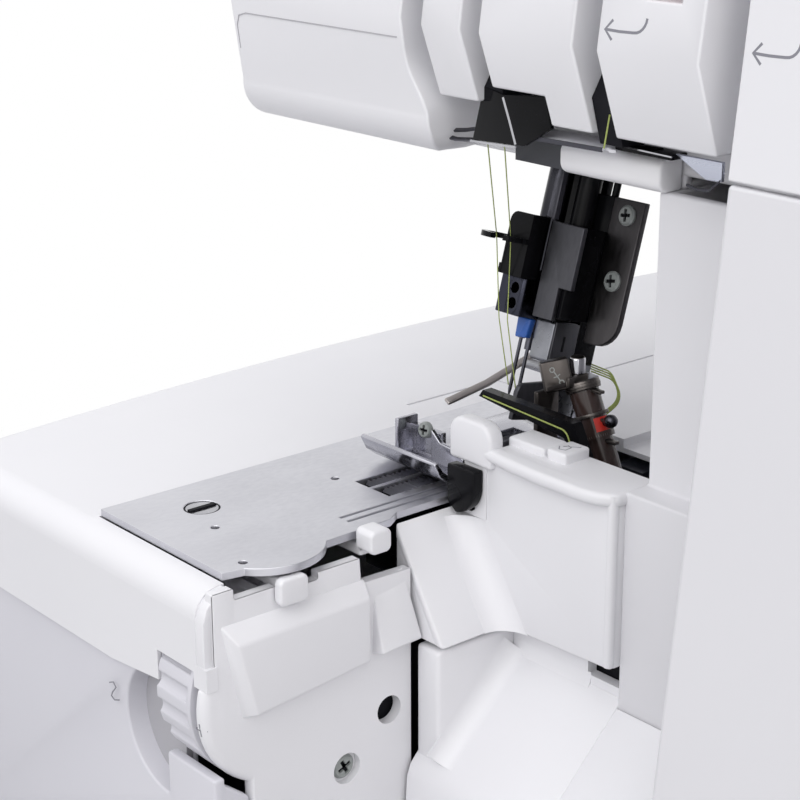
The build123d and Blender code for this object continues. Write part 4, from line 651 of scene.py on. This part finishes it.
def presser_sheets():
    """Screw plate, needle guard plate and the black clamp between them."""
    left, right, low, high, corner = 4.5, 15.2, 30.3, 69.1, 7
    corner_arc = arc_points((right - corner, low + corner), corner, -90, 0, 6)
    outline = [(left, low), *corner_arc, (right, high), (left, high)]
    screw_plate = prism(outline, -6.2, -4.2, presser_place)
    round_shells("screw_plate", [(screw_plate, 0.3)], "presser_bracket", GUNMETAL)
    notched = [(-4, 34.6), (3.1, 34.6), (3.1, 43.3), (7.5, 43.3), (7.5, 59.8), (-4, 59.8)]
    guard_plate = prism(notched, -18.2, -16.6, presser_place)
    fitted("needle_guard_plate", guard_plate, "presser", "gunmetal", GUARD_GREY, 0.25)
    web = prism(rectangle(2.9, 4.4, 35.4, 59.6), -16.6, -5, presser_place)
    clamp = prism(rectangle(-4, 5, 38, 69), -6.1, 0, presser_place)
    # Black plate of painted shade in the gap behind the needle bar and presser bar
    shade_plate = prism(rectangle(-20, -2, 50, 84), -2.6, -0.6, presser_place)
    rod_low, rod_high = 68, 99
    rod_foot = Vector(presser_place(2.5, rod_low, -4))
    rod_way = Vector(presser_place(2.5, rod_high, -4)) - rod_foot
    rod = turned(rod_foot, rod_way, [(1.0, 0), (1.0, rod_high - rod_low)], count=20)
    black = joined([web, clamp, shade_plate, rod])
    fitted("bracket_clamp", black, "presser", "black_metal", BLACK, 0.2)


def bracket_screws():
    for name, w, spin in (("bracket_screw_low", 47.7, 12), ("bracket_screw_high", 65.0, 8)):
        head = cross_screw(name, presser_place(10.3, w, -6.2), BAR_FRONT, 2.7, 1.3, "presser", spin)
    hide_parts("bracket_screws")


def ankle():
    """Ankle without its finger, its side plate with a slit painted in shade black, its barrel, and the finger
    in its own steel.
    """
    body = cleaned("foot_ankle")
    cut(body, box_mesh((-75, -60, 110), (-61.2, 0, 150)))
    cut(body, box_mesh((-41.4, -40, 138), (-30, 10, 170)))
    stand_in(rounded(body, 0.3), "foot_ankle", ANKLE_STEEL)
    for name, outline, low, high, slot, material, width in (
        ("ankle_side", rectangle(-13.2, -4.3, 23.3, 34.2), 0.3, 0.8, "gunmetal", GUARD_GREY, 0.15),
        # The slit is painted shade black
        ("ankle_slit", rectangle(-9.6, -8.9, 26.6, 30.6), 0.5, 0.9, "black_metal", PAINTED_SHADE_BLACK, 0),
        ("ankle_barrel", rectangle(-4.2, 3.6, 23.6, 38), -4.2, 0.9, "black_metal", BLACK, 0.6),
    ):
        fitted(name, prism(outline, low, high, presser_side), "presser", slot, material, width)
    # Bracket below the ankle that carries the foot
    cheek = [(-38.8, 129.3), (-36.9, 136.6), (-35.9, 138), (-34.6, 138.4), (-17.9, 135.9), (-17.6, 124.5)]
    fitted("foot_bracket", slab(cheek, "x", -46.6, -45), "presser", "gunmetal", GUARD_GREY, 0.3)
    path = [(-65.4, -43.6, 130.6), (-65, -42, 131), (-64, -30.2, 133.4)]
    path += [(-62.6, -14, 138.6), (-60.5, -11, 139.4)]
    finger = ribbon(path, 1.1, (0.35, -0.2, 1), 0, 0.9)
    fitted("ankle_finger", finger, "presser", SLOT_OF["foot_ankle"], FINGER_STEEL, 0.2)


def needle_fittings():
    """Two set screws in the needle clamp, and the blue seat above the needles."""
    socket = [(ON_AXIS, 0), (1.35, 0), (1.35, 1.6), (0.75, 1.6), (0.7, 0.5), (ON_AXIS, 0.5)]
    for name, w in (("set_screw_low", 39.7), ("set_screw_high", 43.8)):
        screw = turned(needle_place(0.8, w, -4.3), BAR_FRONT, socket, count=24)
        fitted(name, screw, "needle_drive", "black_metal", BLACK)
    outline = [(-0.8, 30.8), (3.2, 31.2), (3.8, 36.4), (-1.2, 36.4)]
    seat = prism(outline, -3.6, -1.4, needle_place)
    fitted("needle_seat", seat, "needle_drive", "clamp_steel", BLUE_SEAT, 0.4)


def needle_thread_run():
    """Needle threads between the head's guide and the hook, made finer than their solid and given the thread
    finish.
    """
    piece = cleaned("needle_threads")
    # Thread is drawn finer than its solid
    slimming = 0.06 * MM
    for vertex, normal in [(vertex, vertex.normal.copy()) for vertex in piece.data.vertices]:
        vertex.co -= normal * slimming
    shade(piece.data)
    piece.data.materials.append(THREAD)
    hook = Vector(needle_place(-2.0, 56.2, -14.2))
    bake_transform(piece)
    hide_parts("needle_threads")


# Upper knife

def knife_fittings():
    axis = (KNIFE_TOP - KNIFE_PIVOT).normalized()
    radius = KNIFE_TUBE_RADIUS
    # Spring rings round the tube, each with an ear
    band = rectangle(radius, radius + 0.8, -0.45, 0.45)
    for name, back in (("snap_ring_top", -1.2), ("snap_ring_middle", 6.6), ("snap_ring_low", 12.2)):
        centre = KNIFE_TOP - axis * back
        ring = turned(centre, axis, band, ring=True, count=48)
        ear = box_mesh(centre + Vector((radius - 0.5, -1.2, -0.4)), centre + Vector((radius + 3.4, 0.6, 0.4)))
        fitted(name, joined([ring, ear]), "upper_knife", "dark_steel", BRONZE, 0.15)
    # Red paint mark and a small stop knob beside the tube
    right, front = axis.cross(Vector((0, 1, 0))).normalized() * -1, Vector((0, -1, 0))
    place = KNIFE_TOP - axis * 9.5
    low, high = axis * -1.9, axis * 1.9
    bands = []
    for turn in range(-20, 41, 10):
        out = right * math.cos(math.radians(turn)) + front * math.sin(math.radians(turn))
        inner, outer = place + out * (radius - 0.1), place + out * (radius + 0.35)
        bands.append([inner + low, outer + low, outer + high, inner + high])
    fitted("red_mark", lofted(bands), "upper_knife", "brown_tube", RED_MARK)
    knob_foot = KNIFE_TOP - axis * 9.4 + right * (radius - 0.4)
    ball = [(ON_AXIS, 0), (0.9, 0), (0.9, 1.2), (1.5, 1.8), (1.8, 2.8)]
    ball += [(1.6, 3.8), (1.0, 4.5), (ON_AXIS, 4.8)]
    fitted("stop_knob", turned(knob_foot, right, ball), "upper_knife", "dark_steel", DARK_STEEL)
    knife_block()
    # Polished cap over the release knob
    profile = [(ON_AXIS, 0), (2.1, 0), (2.1, 3.6), (1.8, 4.1), (ON_AXIS, 4.1)]
    cap = turned((-29.2, -31, 144.8), (0, 0, 1), profile)
    fitted("release_cap", cap, "upper_knife", "bright_steel", BRIGHT_STEEL)


def knife_block():
    """Knife block turned towards the operator, with an engraved pair of blades."""
    body = cleaned("upper_knife_block")
    cut(body, box_mesh((-38, -45, 139.6), (-28, -33.6, 151)))
    centre = Vector((-30, -37.5, 144.9))
    out = Vector((0.74, -0.63, 0.22)).normalized()
    level = Vector((0.65, 0.76, 0))
    upright = out.cross(level).normalized()
    lean = math.radians(12)
    across = level * math.cos(lean) + upright * math.sin(lean)
    rise = upright * math.cos(lean) - level * math.sin(lean)

    def at(a, b, height):
        return centre + across * a + rise * b + out * height

    half_width, half_height, depth = 3.7, 4.0, 6.5
    corners = rectangle(-half_width, half_width, -half_height, half_height)
    block = prism(corners, -depth, 0, at)
    round_shells("knife_block", [(taken(body), 0.3), (block, 0.5)], "upper_knife_block", BRONZE)
    lines = [[(-0.5, 1.1), (0.6, -1.4)], [(-0.9, -0.3), (0.1, -0.2), (0.9, 0.3)]]
    lines += [arc_points(middle, 0.6, 0, 360, 8) for middle in ((-0.9, 1.7), (0.9, -1.9))]
    marks = [ribbon([at(a, b, 0) for a, b in line], 0.14, out, 0.05, 0.3) for line in lines]
    fitted("knife_icon", joined(marks), "upper_knife", "bright_steel", SCREW_STEEL)


# Repeated fittings

def repeat_tree(name):
    """Geometry Nodes that set a unit on every point, each turned at random about the facing axis."""
    tree = bpy.data.node_groups.new(name, "GeometryNodeTree")
    inputs = {"Points": "Geometry", "Unit": "Object", "Facing": "Vector"}
    inputs.update({"Most Turn": "Float", "Seed": "Int", "Finish": "Material"})
    sockets = {}
    for label, kind in inputs.items():
        socket = tree.interface.new_socket(label, in_out="INPUT", socket_type=f"NodeSocket{kind}")
        sockets[label] = socket.identifier
    tree.interface.new_socket("Geometry", in_out="OUTPUT", socket_type="NodeSocketGeometry")
    given = tree.nodes.new("NodeGroupInput").outputs
    unit = add_node(tree, "GeometryNodeObjectInfo", {"Object": given["Unit"]}).outputs["Geometry"]
    random = add_node(tree, "FunctionNodeRandomValue", {"Max": given["Most Turn"], "Seed": given["Seed"]})
    spin = {0: given["Facing"], "Scale": random.outputs["Value"]}
    turn = add_node(tree, "ShaderNodeVectorMath", spin, operation="SCALE").outputs["Vector"]
    places = {"Points": given["Points"], "Instance": unit, "Rotation": turn}
    copies = add_node(tree, "GeometryNodeInstanceOnPoints", places).outputs["Instances"]
    real = add_node(tree, "GeometryNodeRealizeInstances", {"Geometry": copies}).outputs["Geometry"]
    finish = add_node(tree, "GeometryNodeSetMaterial", {"Geometry": real, "Material": given["Finish"]})
    add_node(tree, "NodeGroupOutput", {"Geometry": finish.outputs["Geometry"]})
    return tree, sockets


def repeated(name, points, unit_mesh, facing, most_turn, seed, body, slot, material):
    """Copies of a unit mesh at points in millimetres, settled into one plain mesh."""
    tree, sockets = repeat_tree(name)
    mesh = bpy.data.meshes.new(name)
    mesh.from_pydata([Vector(point) * MM for point in points], [], [])
    piece, unit = mesh_object(name, mesh), mesh_object("unit", unit_mesh)
    nodes = piece.modifiers.new("repeat", "NODES")
    nodes.node_group = tree
    values = {"Unit": unit, "Facing": facing, "Most Turn": most_turn, "Seed": seed, "Finish": material}
    for label, value in values.items():
        nodes[sockets[label]] = value
    settled(piece)
    bpy.data.objects.remove(unit)
    shade(piece.data)
    return attach(piece, body, slot, material)


def back_fittings():
    """Cover screws and cooling louvres on the back, and screws below the base."""
    radius, height = 3.2, 1.4
    profile = dome(radius, -1, 0.5 * height, 0.9 * height, height)
    for name, facing, points in (
        ("back_screws", (0, 1, 0), [(x, 61.9, z) for x in (-108, 24, 146) for z in (216, 280)]),
        ("base_screws", (0, 0, -1), [(x, y, 10.2) for x in (-128, 0, 128) for y in (-60, 60)]),
    ):
        head = mesh_object("head", turned((0, 0, 0), facing, profile))
        at = local_frame((0, 0, 0), facing)
        for a, b in ((2.0, 0.5), (0.5, 2.0)):
            cut(head, prism(rectangle(-a, a, -b, b), 0.3, 4, at))
        repeated(name, points, taken(head), facing, math.pi, 7, "machine", "bright_steel", SCREW_STEEL)
    pitch, count = 5.5, 9
    louvre = slab(rectangle(-24, 24, -0.5, 1.3), "y", -0.6, 1.2)
    places = [(96, 62, 140 + pitch * i) for i in range(count)]
    repeated("back_louvres", places, louvre, (0, 1, 0), 0.0, 1, "machine", "white_plastic", WHITE)


# White mouldings around the sewing area

def at_x(outline, x):
    """A loop of a (y, z) outline at one x."""
    return [(x, y, z) for y, z in outline]


def cove(start, end, one, two, radius, steps=24):
    """A hollow fillet in the corner between two faces that leave the line along one and two."""
    start, end, one, two = Vector(start), Vector(end), Vector(one), Vector(two)
    loops = []
    for corner in (start, end):
        centre = corner + (one + two) * radius
        turns = [math.radians(90 * i / steps) for i in range(steps + 1)]
        arc = [centre - one * radius * math.sin(a) - two * radius * math.cos(a) for a in turns]
        sunk = corner - (one + two) * 0.3
        loops.append([sunk, corner + one * radius - two * 0.3, *arc, corner + two * radius - one * 0.3])
    return lofted(loops)


def side_panel():
    """Panel below the needle plate: round end beside the dial, raised pad, wedge, hole and screw."""
    inner, face, rear = -32.5, PANEL_FACE, -86.8
    dial_y, dial_z, dial_radius, rim, rim_steps = -125.0, 86.0, 24.2, 2.4, 5
    lip_y, lip_z, lip_top, top = -145.5, 92.2, 115.8, 113.0

    def outline(radius):
        upper = math.degrees(math.asin((lip_z - dial_z) / radius))
        arc = arc_points((dial_y, dial_z), radius, 180 - upper, 242, 14)
        foot = [(-136.2, TRAY_TOP), (rear, TRAY_TOP), (rear, 106)]
        step = [(-102.4, 106.4), (-102.8, top), (-115.4, top)]
        notch = [(-115.4, 111.2), (-127.6, 111.2), (-127.6, top), (-139.4, top)]
        return [*arc, *foot, *step, *notch, (-139.6, lip_top), (lip_y, lip_top), (lip_y, lip_z)]

    loops = [at_x(outline(dial_radius), inner)]
    for i in range(rim_steps + 1):
        angle = math.radians(90 * i / rim_steps)
        radius = dial_radius - rim * (1 - math.cos(angle))
        loops.append(at_x(outline(radius), face - rim * (1 - math.sin(angle))))
    wall = rounded(mesh_object("side_wall", lofted(loops)), 0.35, 40)
    hole, sink = (-94.1, 69.8), (-107.7, 58.3)
    for place, radius, depth in ((hole, 3.75, 8), (sink, 4.1, 3.2)):
        cut(wall, turned((face + 1, *place), (-1, 0, 0), [(radius, 0), (radius, depth)]))
    pad_foot = [(-138.2, 82.4), (-101.4, 86.0), (-101.4, 107.4), (-143.6, 107.6)]
    pad_face = [(-136.3, 83.9), (-102.4, 87.0), (-102.4, 103.6), (-141.0, 103.0)]
    pad = lofted([at_x(pad_foot, face - 1), at_x(pad_foot, face), at_x(pad_face, face + 3.5)])
    wedge_front = [(face - 1, -98.6, 105.2), (face + 4, -99, 87.8), (face - 1, -99.4, 86.2)]
    wedge_rear = [(face - 1, -88.6, 106.8), (face + 4, -86.4, 88.4), (face - 1, -86.6, 86.9)]
    wedge = lofted([wedge_front, wedge_rear])
    round_shells("side_panel", [(taken(wall), 0), (pad, 0.7), (wedge, 0.6)], "bed_side_panel", WHITE)
    # Painted shade black behind the hole
    behind = turned((inner - 2, *hole), (1, 0, 0), [(4.6, 0), (4.6, 1.2)])
    painted_shade_inside("hole_dark", behind)
    cross_screw("side_screw", (face - 2.3, *sink), (1, 0, 0), 3.3, 1.5, "machine", 25)
    bed_lip()
    bed_marks()
    plate_screw()


def bed_lip():
    """End of the bed cover's lip, its run over the finger scoop, and the back of the scoop in painted shade
    grey.
    """
    outer = [(-147.9, 96.2), (-147.9, 109), (-146.7, 112.6), (-144, 115.1), (-140.4, 115.9)]
    inside = [(-140.4, 114.4), (-143, 113.6), (-144.8, 111.6), (-145.4, 109), (-145.4, 96.2)]
    moulding("lip_end", slab(outer + inside, "x", -33.6, PANEL_FACE - 0.6), WHITE, 0.3)
    edge_x = -49.4
    scoop = arc_points((-50, 74), 17.2, 90, 270, 16)
    half = [(edge_x, scoop[0][1]), *scoop[1:-1], (edge_x, scoop[-1][1])]
    # Back of the scoop in painted shade grey
    moulding("scoop_back", slab(half, "y", -141.2, -139.6), PAINTED_SHADE_GREY)
    run = [(-70.4, 86), (-49.6, 88.2), (-49.6, 96), (-70.4, 96)]
    moulding("lip_run", slab(run, "y", -147.995, -146.9), WHITE)


def bed_marks():
    """Plus mark on the rim of the side panel, and the width pictogram on the front panel."""
    rim_normal = (0.5, -1, -0.1)
    across = [(-33.0, -148.95, 82.4), (-31.4, -148.88, 82.4), (-29.9, -147.8, 82.4)]
    upright = [(-31.4, -148.56, 80.7), (-31.4, -149.07, 84.1)]
    printed("plus_mark", [ribbon(line, 0.16, rim_normal, 0.05, 0.5) for line in (across, upright)])
    line = [(-72.4, 78.6), (-70.6, 79.4), (-69.4, 78.4), (-71.2, 76.4)]
    line += [(-71.8, 75.2), (-70.4, 74.6), (-68.2, 75.4)]
    points = [(x, -148, z) for x, z in line]
    printed("width_icon", [ribbon(points, 0.16, (0, -1, 0), 0.05, 0.2)])


def plate_screw():
    """Painted shade black in the surround and slot of the needle plate's screw."""
    x, y = -71.0, -119.6
    band = rectangle(4.15, 4.75, 0, 0.5)
    ring = turned((x, y, 117.3), (0, 0, 1), band, ring=True, count=40)
    slot = box_mesh((x - 0.62, y - 3.9, 117), (x + 0.62, y + 3.9, 118.2))
    dark = joined([ring, slot])
    fitted("plate_screw_dark", dark, "machine", "black_metal", PAINTED_SHADE_BLACK)


def guard():
    """Looper guard: sloping sheet, upright wall with a lip, tab, pads and a rounded right edge."""
    top, left, right, wall_y, rear = 133.5, -26.6, 17.3, -65.0, -62.0
    high, fold = (-36.6, 115.6), (-18.6, 87.4)
    slope = [high, fold, (fold[0] - 2.8, fold[1]), (high[0], high[1] - 3.8)]
    wall_top = top - 0.1
    wall = [fold, (right, 88.8), (right, wall_top), (left, wall_top), (left, 114), (-35.6, 114)]
    lip_y, lip_rear, lip_right = -68.6, -50.5, right + 1
    lip = [(-36, -66.4), (-26, -66.7), (-16, -68), (-6, lip_y), (9, lip_y), (14, -67.6)]
    lip += [(lip_right, -65), (lip_right, lip_rear), (-24, lip_rear), (-24, -63), (-36, -63)]
    tab_top, tab_foot, tab_left, tab_right, corner = 139.4, top - 5.5, -38.4, -23.0, 4.5
    tab = [(tab_left, tab_foot), (tab_right, tab_foot)]
    tab += arc_points((tab_right - corner, tab_top - corner), corner, 0, 90, 6)
    tab += arc_points((tab_left + corner, tab_top - corner), corner, 90, 180, 6)
    cove_start, cove_end = (high[0] + 1.2, wall_y, high[1] - 2), (fold[0], wall_y, fold[1] + 0.2)
    bead_foot, bead = (right - 0.8, wall_y + 0.4, 89.4), [(1.2, 0), (1.3, 1), (1.3, 43), (1.2, 43.6)]
    cheek = [(high[0] + 0.4, high[1] - 0.8), (fold[0] - 0.4, fold[1] + 0.3), (-34, 87.6), (-36.2, 95)]
    shells = [
        (slab(slope, "y", -86, rear), 0.8),
        (slab(wall, "y", wall_y, rear), 0.6),
        (slab(lip, "z", top - 3.4, top), 1.3),
        (slab(tab, "y", -66.8, rear), 1.1),
        (cove(cove_start, cove_end, (0, -1, 0), (1.1, 0, 0), 7), 0),
        (turned(bead_foot, (0, 0, 1), bead, count=20), 0),
        (slab(cheek, "y", -85.9, -84), 0.4),
    ]
    pad_height = 2.6
    for x0, x1, height in ((-24, -11.5, 2), (-10.5, -4, pad_height)):
        shells.append((box_mesh((x0, -60, top - 1), (x1, -51.5, top + height)), 0.7))
    round_shells("guard", shells, "looper_guard", WHITE)
    line = [(-9.4, -56.6), (-8, -58.2), (-6.4, -57.6), (-6.6, -55.4)]
    line += [(-8.2, -54.8), (-8.6, -56.2), (-5.2, -53.4)]
    points = [(x, y, top + pad_height) for x, y in line]
    printed("loop_icon", [ribbon(points, 0.14, (0, 0, 1), 0.04, 0.2)])
    # Blank that slides with the knife holder over the opening in the wall
    blank = box_mesh((-34, wall_y - 0.33, 113.9), (-26, wall_y - 0.06, top - 0.6))
    fitted("holder_blank", blank, "lower_knife_carriage", "white_plastic", WHITE)
    # Strip that closes the seam between the guard and the column
    moulding("seam_strip", box_mesh((15.4, -63.8, 88.9), (17.5, -57.5, 132.4)), WHITE, 0.3)


def scrap_chute():
    """Scrap chute: sloping floor in two runs, a back with a notch painted dark with shade, and the wall at
    the left.
    """
    left, right, split, back_y, wall_right = -28.6, 50.6, 17.6, -60.4, -20.2
    fall_start, fall_end = (-86, 55.6), (back_y, 80)
    front = [(-92, TRAY_TOP), (-89.4, 50), (-88.2, 53.2), fall_start]
    under = [(-85, 51.6), (-89, TRAY_TOP)]
    floor = slab([*front, fall_end, (back_y + 3, 78.6), *under], "x", left, split)
    right_floor = slab([*front, (-62.3, 78.2), (-62.3, 74), *under], "x", split - 0.2, right)
    back = rounded(mesh_object("back", box_mesh((left, back_y, 76), (split, back_y + 3, 92))), 0.4)
    cut(back, box_mesh((5.9, back_y - 1, 82.2), (16.6, back_y + 4, 88.6)))
    wall = box_mesh((left, fall_start[0], 52), (wall_right, back_y + 0.5, 86))
    fall = Vector((0, fall_end[0] - fall_start[0], fall_end[1] - fall_start[1])).normalized()
    up = Vector((0, -fall.z, fall.y))
    wall_cove = cove((wall_right, *fall_start), (wall_right, *fall_end), (1, 0, 0), up, 5)
    back_cove = cove((wall_right, back_y, 79.6), (7, back_y, 79.6), (0, 0, 1), -fall, 3)
    shells = [(floor, 0.5), (right_floor, 0.5), (taken(back), 0), (wall, 1.2), (wall_cove, 0), (back_cove, 0)]
    round_shells("scrap_chute", shells, "chute", WHITE)
    # Painted shade black behind the notch
    behind = box_mesh((4, back_y + 3.4, 78), (split, back_y + 4.4, 90))
    painted_shade_inside("notch_dark", behind)


def foot_pieces():
    """Presser foot with its toe curled up, and the screw in its upright."""
    toe_y, left, right = -57.9, -68.4, -38.8
    sole = cleaned("presser_foot")
    cut(sole, box_mesh((-80, -80, 110), (-20, toe_y, 140)))
    under = [(-57, 118.9), (-62, 119.1), (-66.3, 120.2), (-69.3, 122.5), (-71.2, 126.2)]
    over = [(-70.1, 126.8), (-68.2, 124), (-65.6, 121.9), (-62, 120.8), (-57, 120.7)]
    clip = [(-53.4, 119.5), (-41, 119.5), (-41, 124.2), (-44, 126.0), (-50, 126.4), (-53.4, 129.2)]
    shells = [
        (taken(sole), 0.22),
        (slab(under + over, "x", left, right), 0.35),
        (slab(clip, "y", -59.6, -58.2), 0.3),
        (box_mesh((-64.6, -62.5, 119.5), (-63.2, -55.5, 130.2)), 0.3),
    ]
    round_shells("foot", shells, "presser_foot", FOOT_STEEL)
    cross_screw("foot_screw", (-57.6, -57.4, 127.6), (0.15, -1, 0.2), 2.2, 1.6, "foot")


# Stage

def camera():
    data = bpy.data.cameras.new("photo_camera")
    data.lens = CAMERA_LENS
    data.sensor_width = 36
    data.clip_start, data.clip_end = 0.01, 20
    eye = bpy.data.objects.new("photo_camera", data)
    azimuth, elevation = math.radians(CAMERA_AZIMUTH), math.radians(CAMERA_ELEVATION)
    turn = Matrix.Rotation(azimuth, 4, "Z") @ Matrix.Rotation(math.pi / 2 - elevation, 4, "X")
    turn = turn @ Matrix.Rotation(math.radians(CAMERA_ROLL), 4, "Z")
    eye.matrix_world = Matrix.Translation(Vector(CAMERA_PLACE) * MM) @ turn
    bpy.context.scene.collection.objects.link(eye)
    bpy.context.scene.camera = eye


def softbox(name, place, aim, size, power, colour=(1, 1, 1)):
    data = bpy.data.lights.new(name, "AREA")
    data.shape = "RECTANGLE"
    data.size, data.size_y = size
    data.energy = power
    data.color = colour
    lamp = bpy.data.objects.new(name, data)
    way = Vector(aim) - Vector(place)
    lamp.matrix_world = Matrix.Translation(Vector(place)) @ way.to_track_quat("-Z", "Y").to_matrix().to_4x4()
    bpy.context.scene.collection.objects.link(lamp)


def looking_rays(tree):
    """One for camera, glossy and transmission rays, and zero for the rays that carry light."""
    path = tree.nodes.new("ShaderNodeLightPath").outputs
    value = path["Is Camera Ray"]
    for kind in ("Is Glossy Ray", "Is Transmission Ray"):
        either = add_node(tree, "ShaderNodeMath", {0: value, 1: path[kind]}, operation="MAXIMUM")
        value = either.outputs["Value"]
    return value


def mixed(tree, factor, one, two):
    """A shader that goes from one node's to another's with the factor."""
    return add_node(tree, "ShaderNodeMixShader", {"Fac": factor, 1: one.outputs[0], 2: two.outputs[0]})


def white_sky(tree):
    """World that lights softly and looks pure white."""
    sky = tree.nodes["Background"]
    sky.inputs["Color"].default_value = (0.97, 0.97, 1.0, 1)
    sky.inputs["Strength"].default_value = 0.68
    white = add_node(tree, "ShaderNodeBackground", {"Color": (1, 1, 1, 1), "Strength": 1.0})
    whole = mixed(tree, looking_rays(tree), sky, white)
    tree.links.new(whole.outputs["Shader"], tree.nodes["World Output"].inputs["Surface"])


def floor_finish():
    """Floor that keeps the shadow near the machine and turns white away from it."""
    finish = Finish("studio_floor", (0.42, 0.42, 0.43), 0.8)
    tree = finish.tree
    place = tree.nodes.new("ShaderNodeTexCoord").outputs["Object"]
    distance = add_node(tree, "ShaderNodeVectorMath", {0: place}, operation="LENGTH").outputs["Value"]
    shadow_reach, white_from = 0.26, 0.46
    away = finish.ranged(distance, shadow_reach, white_from, 0, 1)
    pale = add_node(tree, "ShaderNodeBsdfDiffuse", {"Color": (0.9, 0.9, 0.9, 1)})
    white = add_node(tree, "ShaderNodeEmission", {"Color": (1, 1, 1, 1)})
    whole = mixed(tree, looking_rays(tree), finish.shader, mixed(tree, away, pale, white))
    tree.links.new(whole.outputs["Shader"], tree.nodes["Material Output"].inputs["Surface"])
    return finish.material


def studio():
    scene = bpy.context.scene
    scene.view_settings.view_transform = "Standard"
    world = bpy.data.worlds.new("studio_air")
    world.use_nodes = True
    scene.world = world
    white_sky(world.node_tree)
    softbox("top_softbox", (-0.25, -0.1, 1.5), (0, 0, 0.1), (1.6, 1.6), 6)
    softbox("front_softbox", (0.35, -1.4, 1.15), (0, 0, 0.15), (1.4, 1.2), 12)
    softbox("right_softbox", (1.5, -0.5, 0.8), (0, 0, 0.15), (1.2, 1.2), 5, (1, 0.97, 0.94))
    reach = 6.0
    corners = [(-reach, -reach, 0), (reach, -reach, 0), (reach, reach, 0), (-reach, reach, 0)]
    mesh = bpy.data.meshes.new("floor")
    mesh.from_pydata(corners, [], [(0, 1, 2, 3)])
    floor = mesh_object("floor", mesh)
    floor.data.materials.append(floor_finish())


# Dressing of the solids: node, finish, edge rounding in millimetres
DRESS = (
    ("bed_front_panel", PALE, 0.7),
    ("column_cover", COLUMN_WHITE, 0.8),
    ("arm_bar", ARM_LIT_WHITE, 0.8),
    ("stitch_finger_lever", WHITE, 0.7),
    ("knife_release_lever", WHITE, 0.7),
    ("cutting_width_dial", PALE, 0.3),
    ("spool_stand", WHITE, 0.6),
    ("pressure_knob", WHITE, 0.5),
    ("handwheel", GREY, 0.6),
    ("stitch_length_dial", GREY, 0.5),
    ("differential_dial", GREY, 0.5),
    ("presser_lifter", GREY, 0.6),
    ("rubber_feet", RUBBER, 0.8),
    ("needle_plate_screw", BRIGHT_STEEL, 0.15),
    ("feed_dog_front", DARK_STEEL, 0.08),
    ("feed_dog_rear", DARK_STEEL, 0.08),
    ("lower_knife_holder", BLACK, 0.5),
    ("lower_knife", BRIGHT_STEEL, 0.15),
    ("needle_clamp", CLAMP_STEEL, 0.3),
    ("lower_looper", BRIGHT_STEEL, 0.4),
    ("power_switch", BLACK_PLASTIC, 0.4),
    ("power_inlet", BLACK_PLASTIC, 0.4),
    ("motor", MOTOR_PAINT, 0.6),
)
# Solids with openings in their flat faces
HOLED = (
    ("head_front_cover", WHITE, 0.6),
    ("head_shell", WHITE, 1.0),
    ("needle_plate", PLATE_STEEL, 0.2),
    ("front_panel", COLUMN_WHITE, 0.8),
)
# Solids whose shape is right as it is
PLAIN = (
    ("bed_cover", WHITE),
    ("base_tray", GREY),
    ("needle_thread_guide", BLACK),
    ("upper_knife_arm", BROWN_TUBE),
    ("guide_pole_rod", BRIGHT_STEEL),
    ("frame_casting", CASTING),
    ("shaft_bushes", BRONZE),
    ("main_shaft", DARK_STEEL),
    ("motor_pulley", DARK_STEEL),
    ("drive_belt", RUBBER),
    ("front_panel_hinge_rod", BRIGHT_STEEL),
    ("needle_bar", BAR_STEEL),
    ("needles", DARK_STEEL),
    ("presser_bar", BLACK),
    ("upper_looper", BLACK),
    ("guide_pole_tube", BRIGHT_STEEL),
    ("looper_thread", THREAD),
    ("thread_loop", THREAD),
    *DIAL_COLOURS.items(),
)


def dress_solids():
    for node, material, width in DRESS:
        softened(node, material, width)
    for node, material, width in HOLED:
        evenly_softened(node, material, width)
    for node, material in PLAIN:
        mesh = NODES[node].data
        mesh.materials.clear()
        mesh.materials.append(material)


camera()
studio()
dress_solids()
dress_head()
side_panel()
guard()
scrap_chute()
foot_pieces()
presser_sheets()
bracket_screws()
ankle()
needle_fittings()
needle_thread_run()
knife_fittings()
back_fittings()
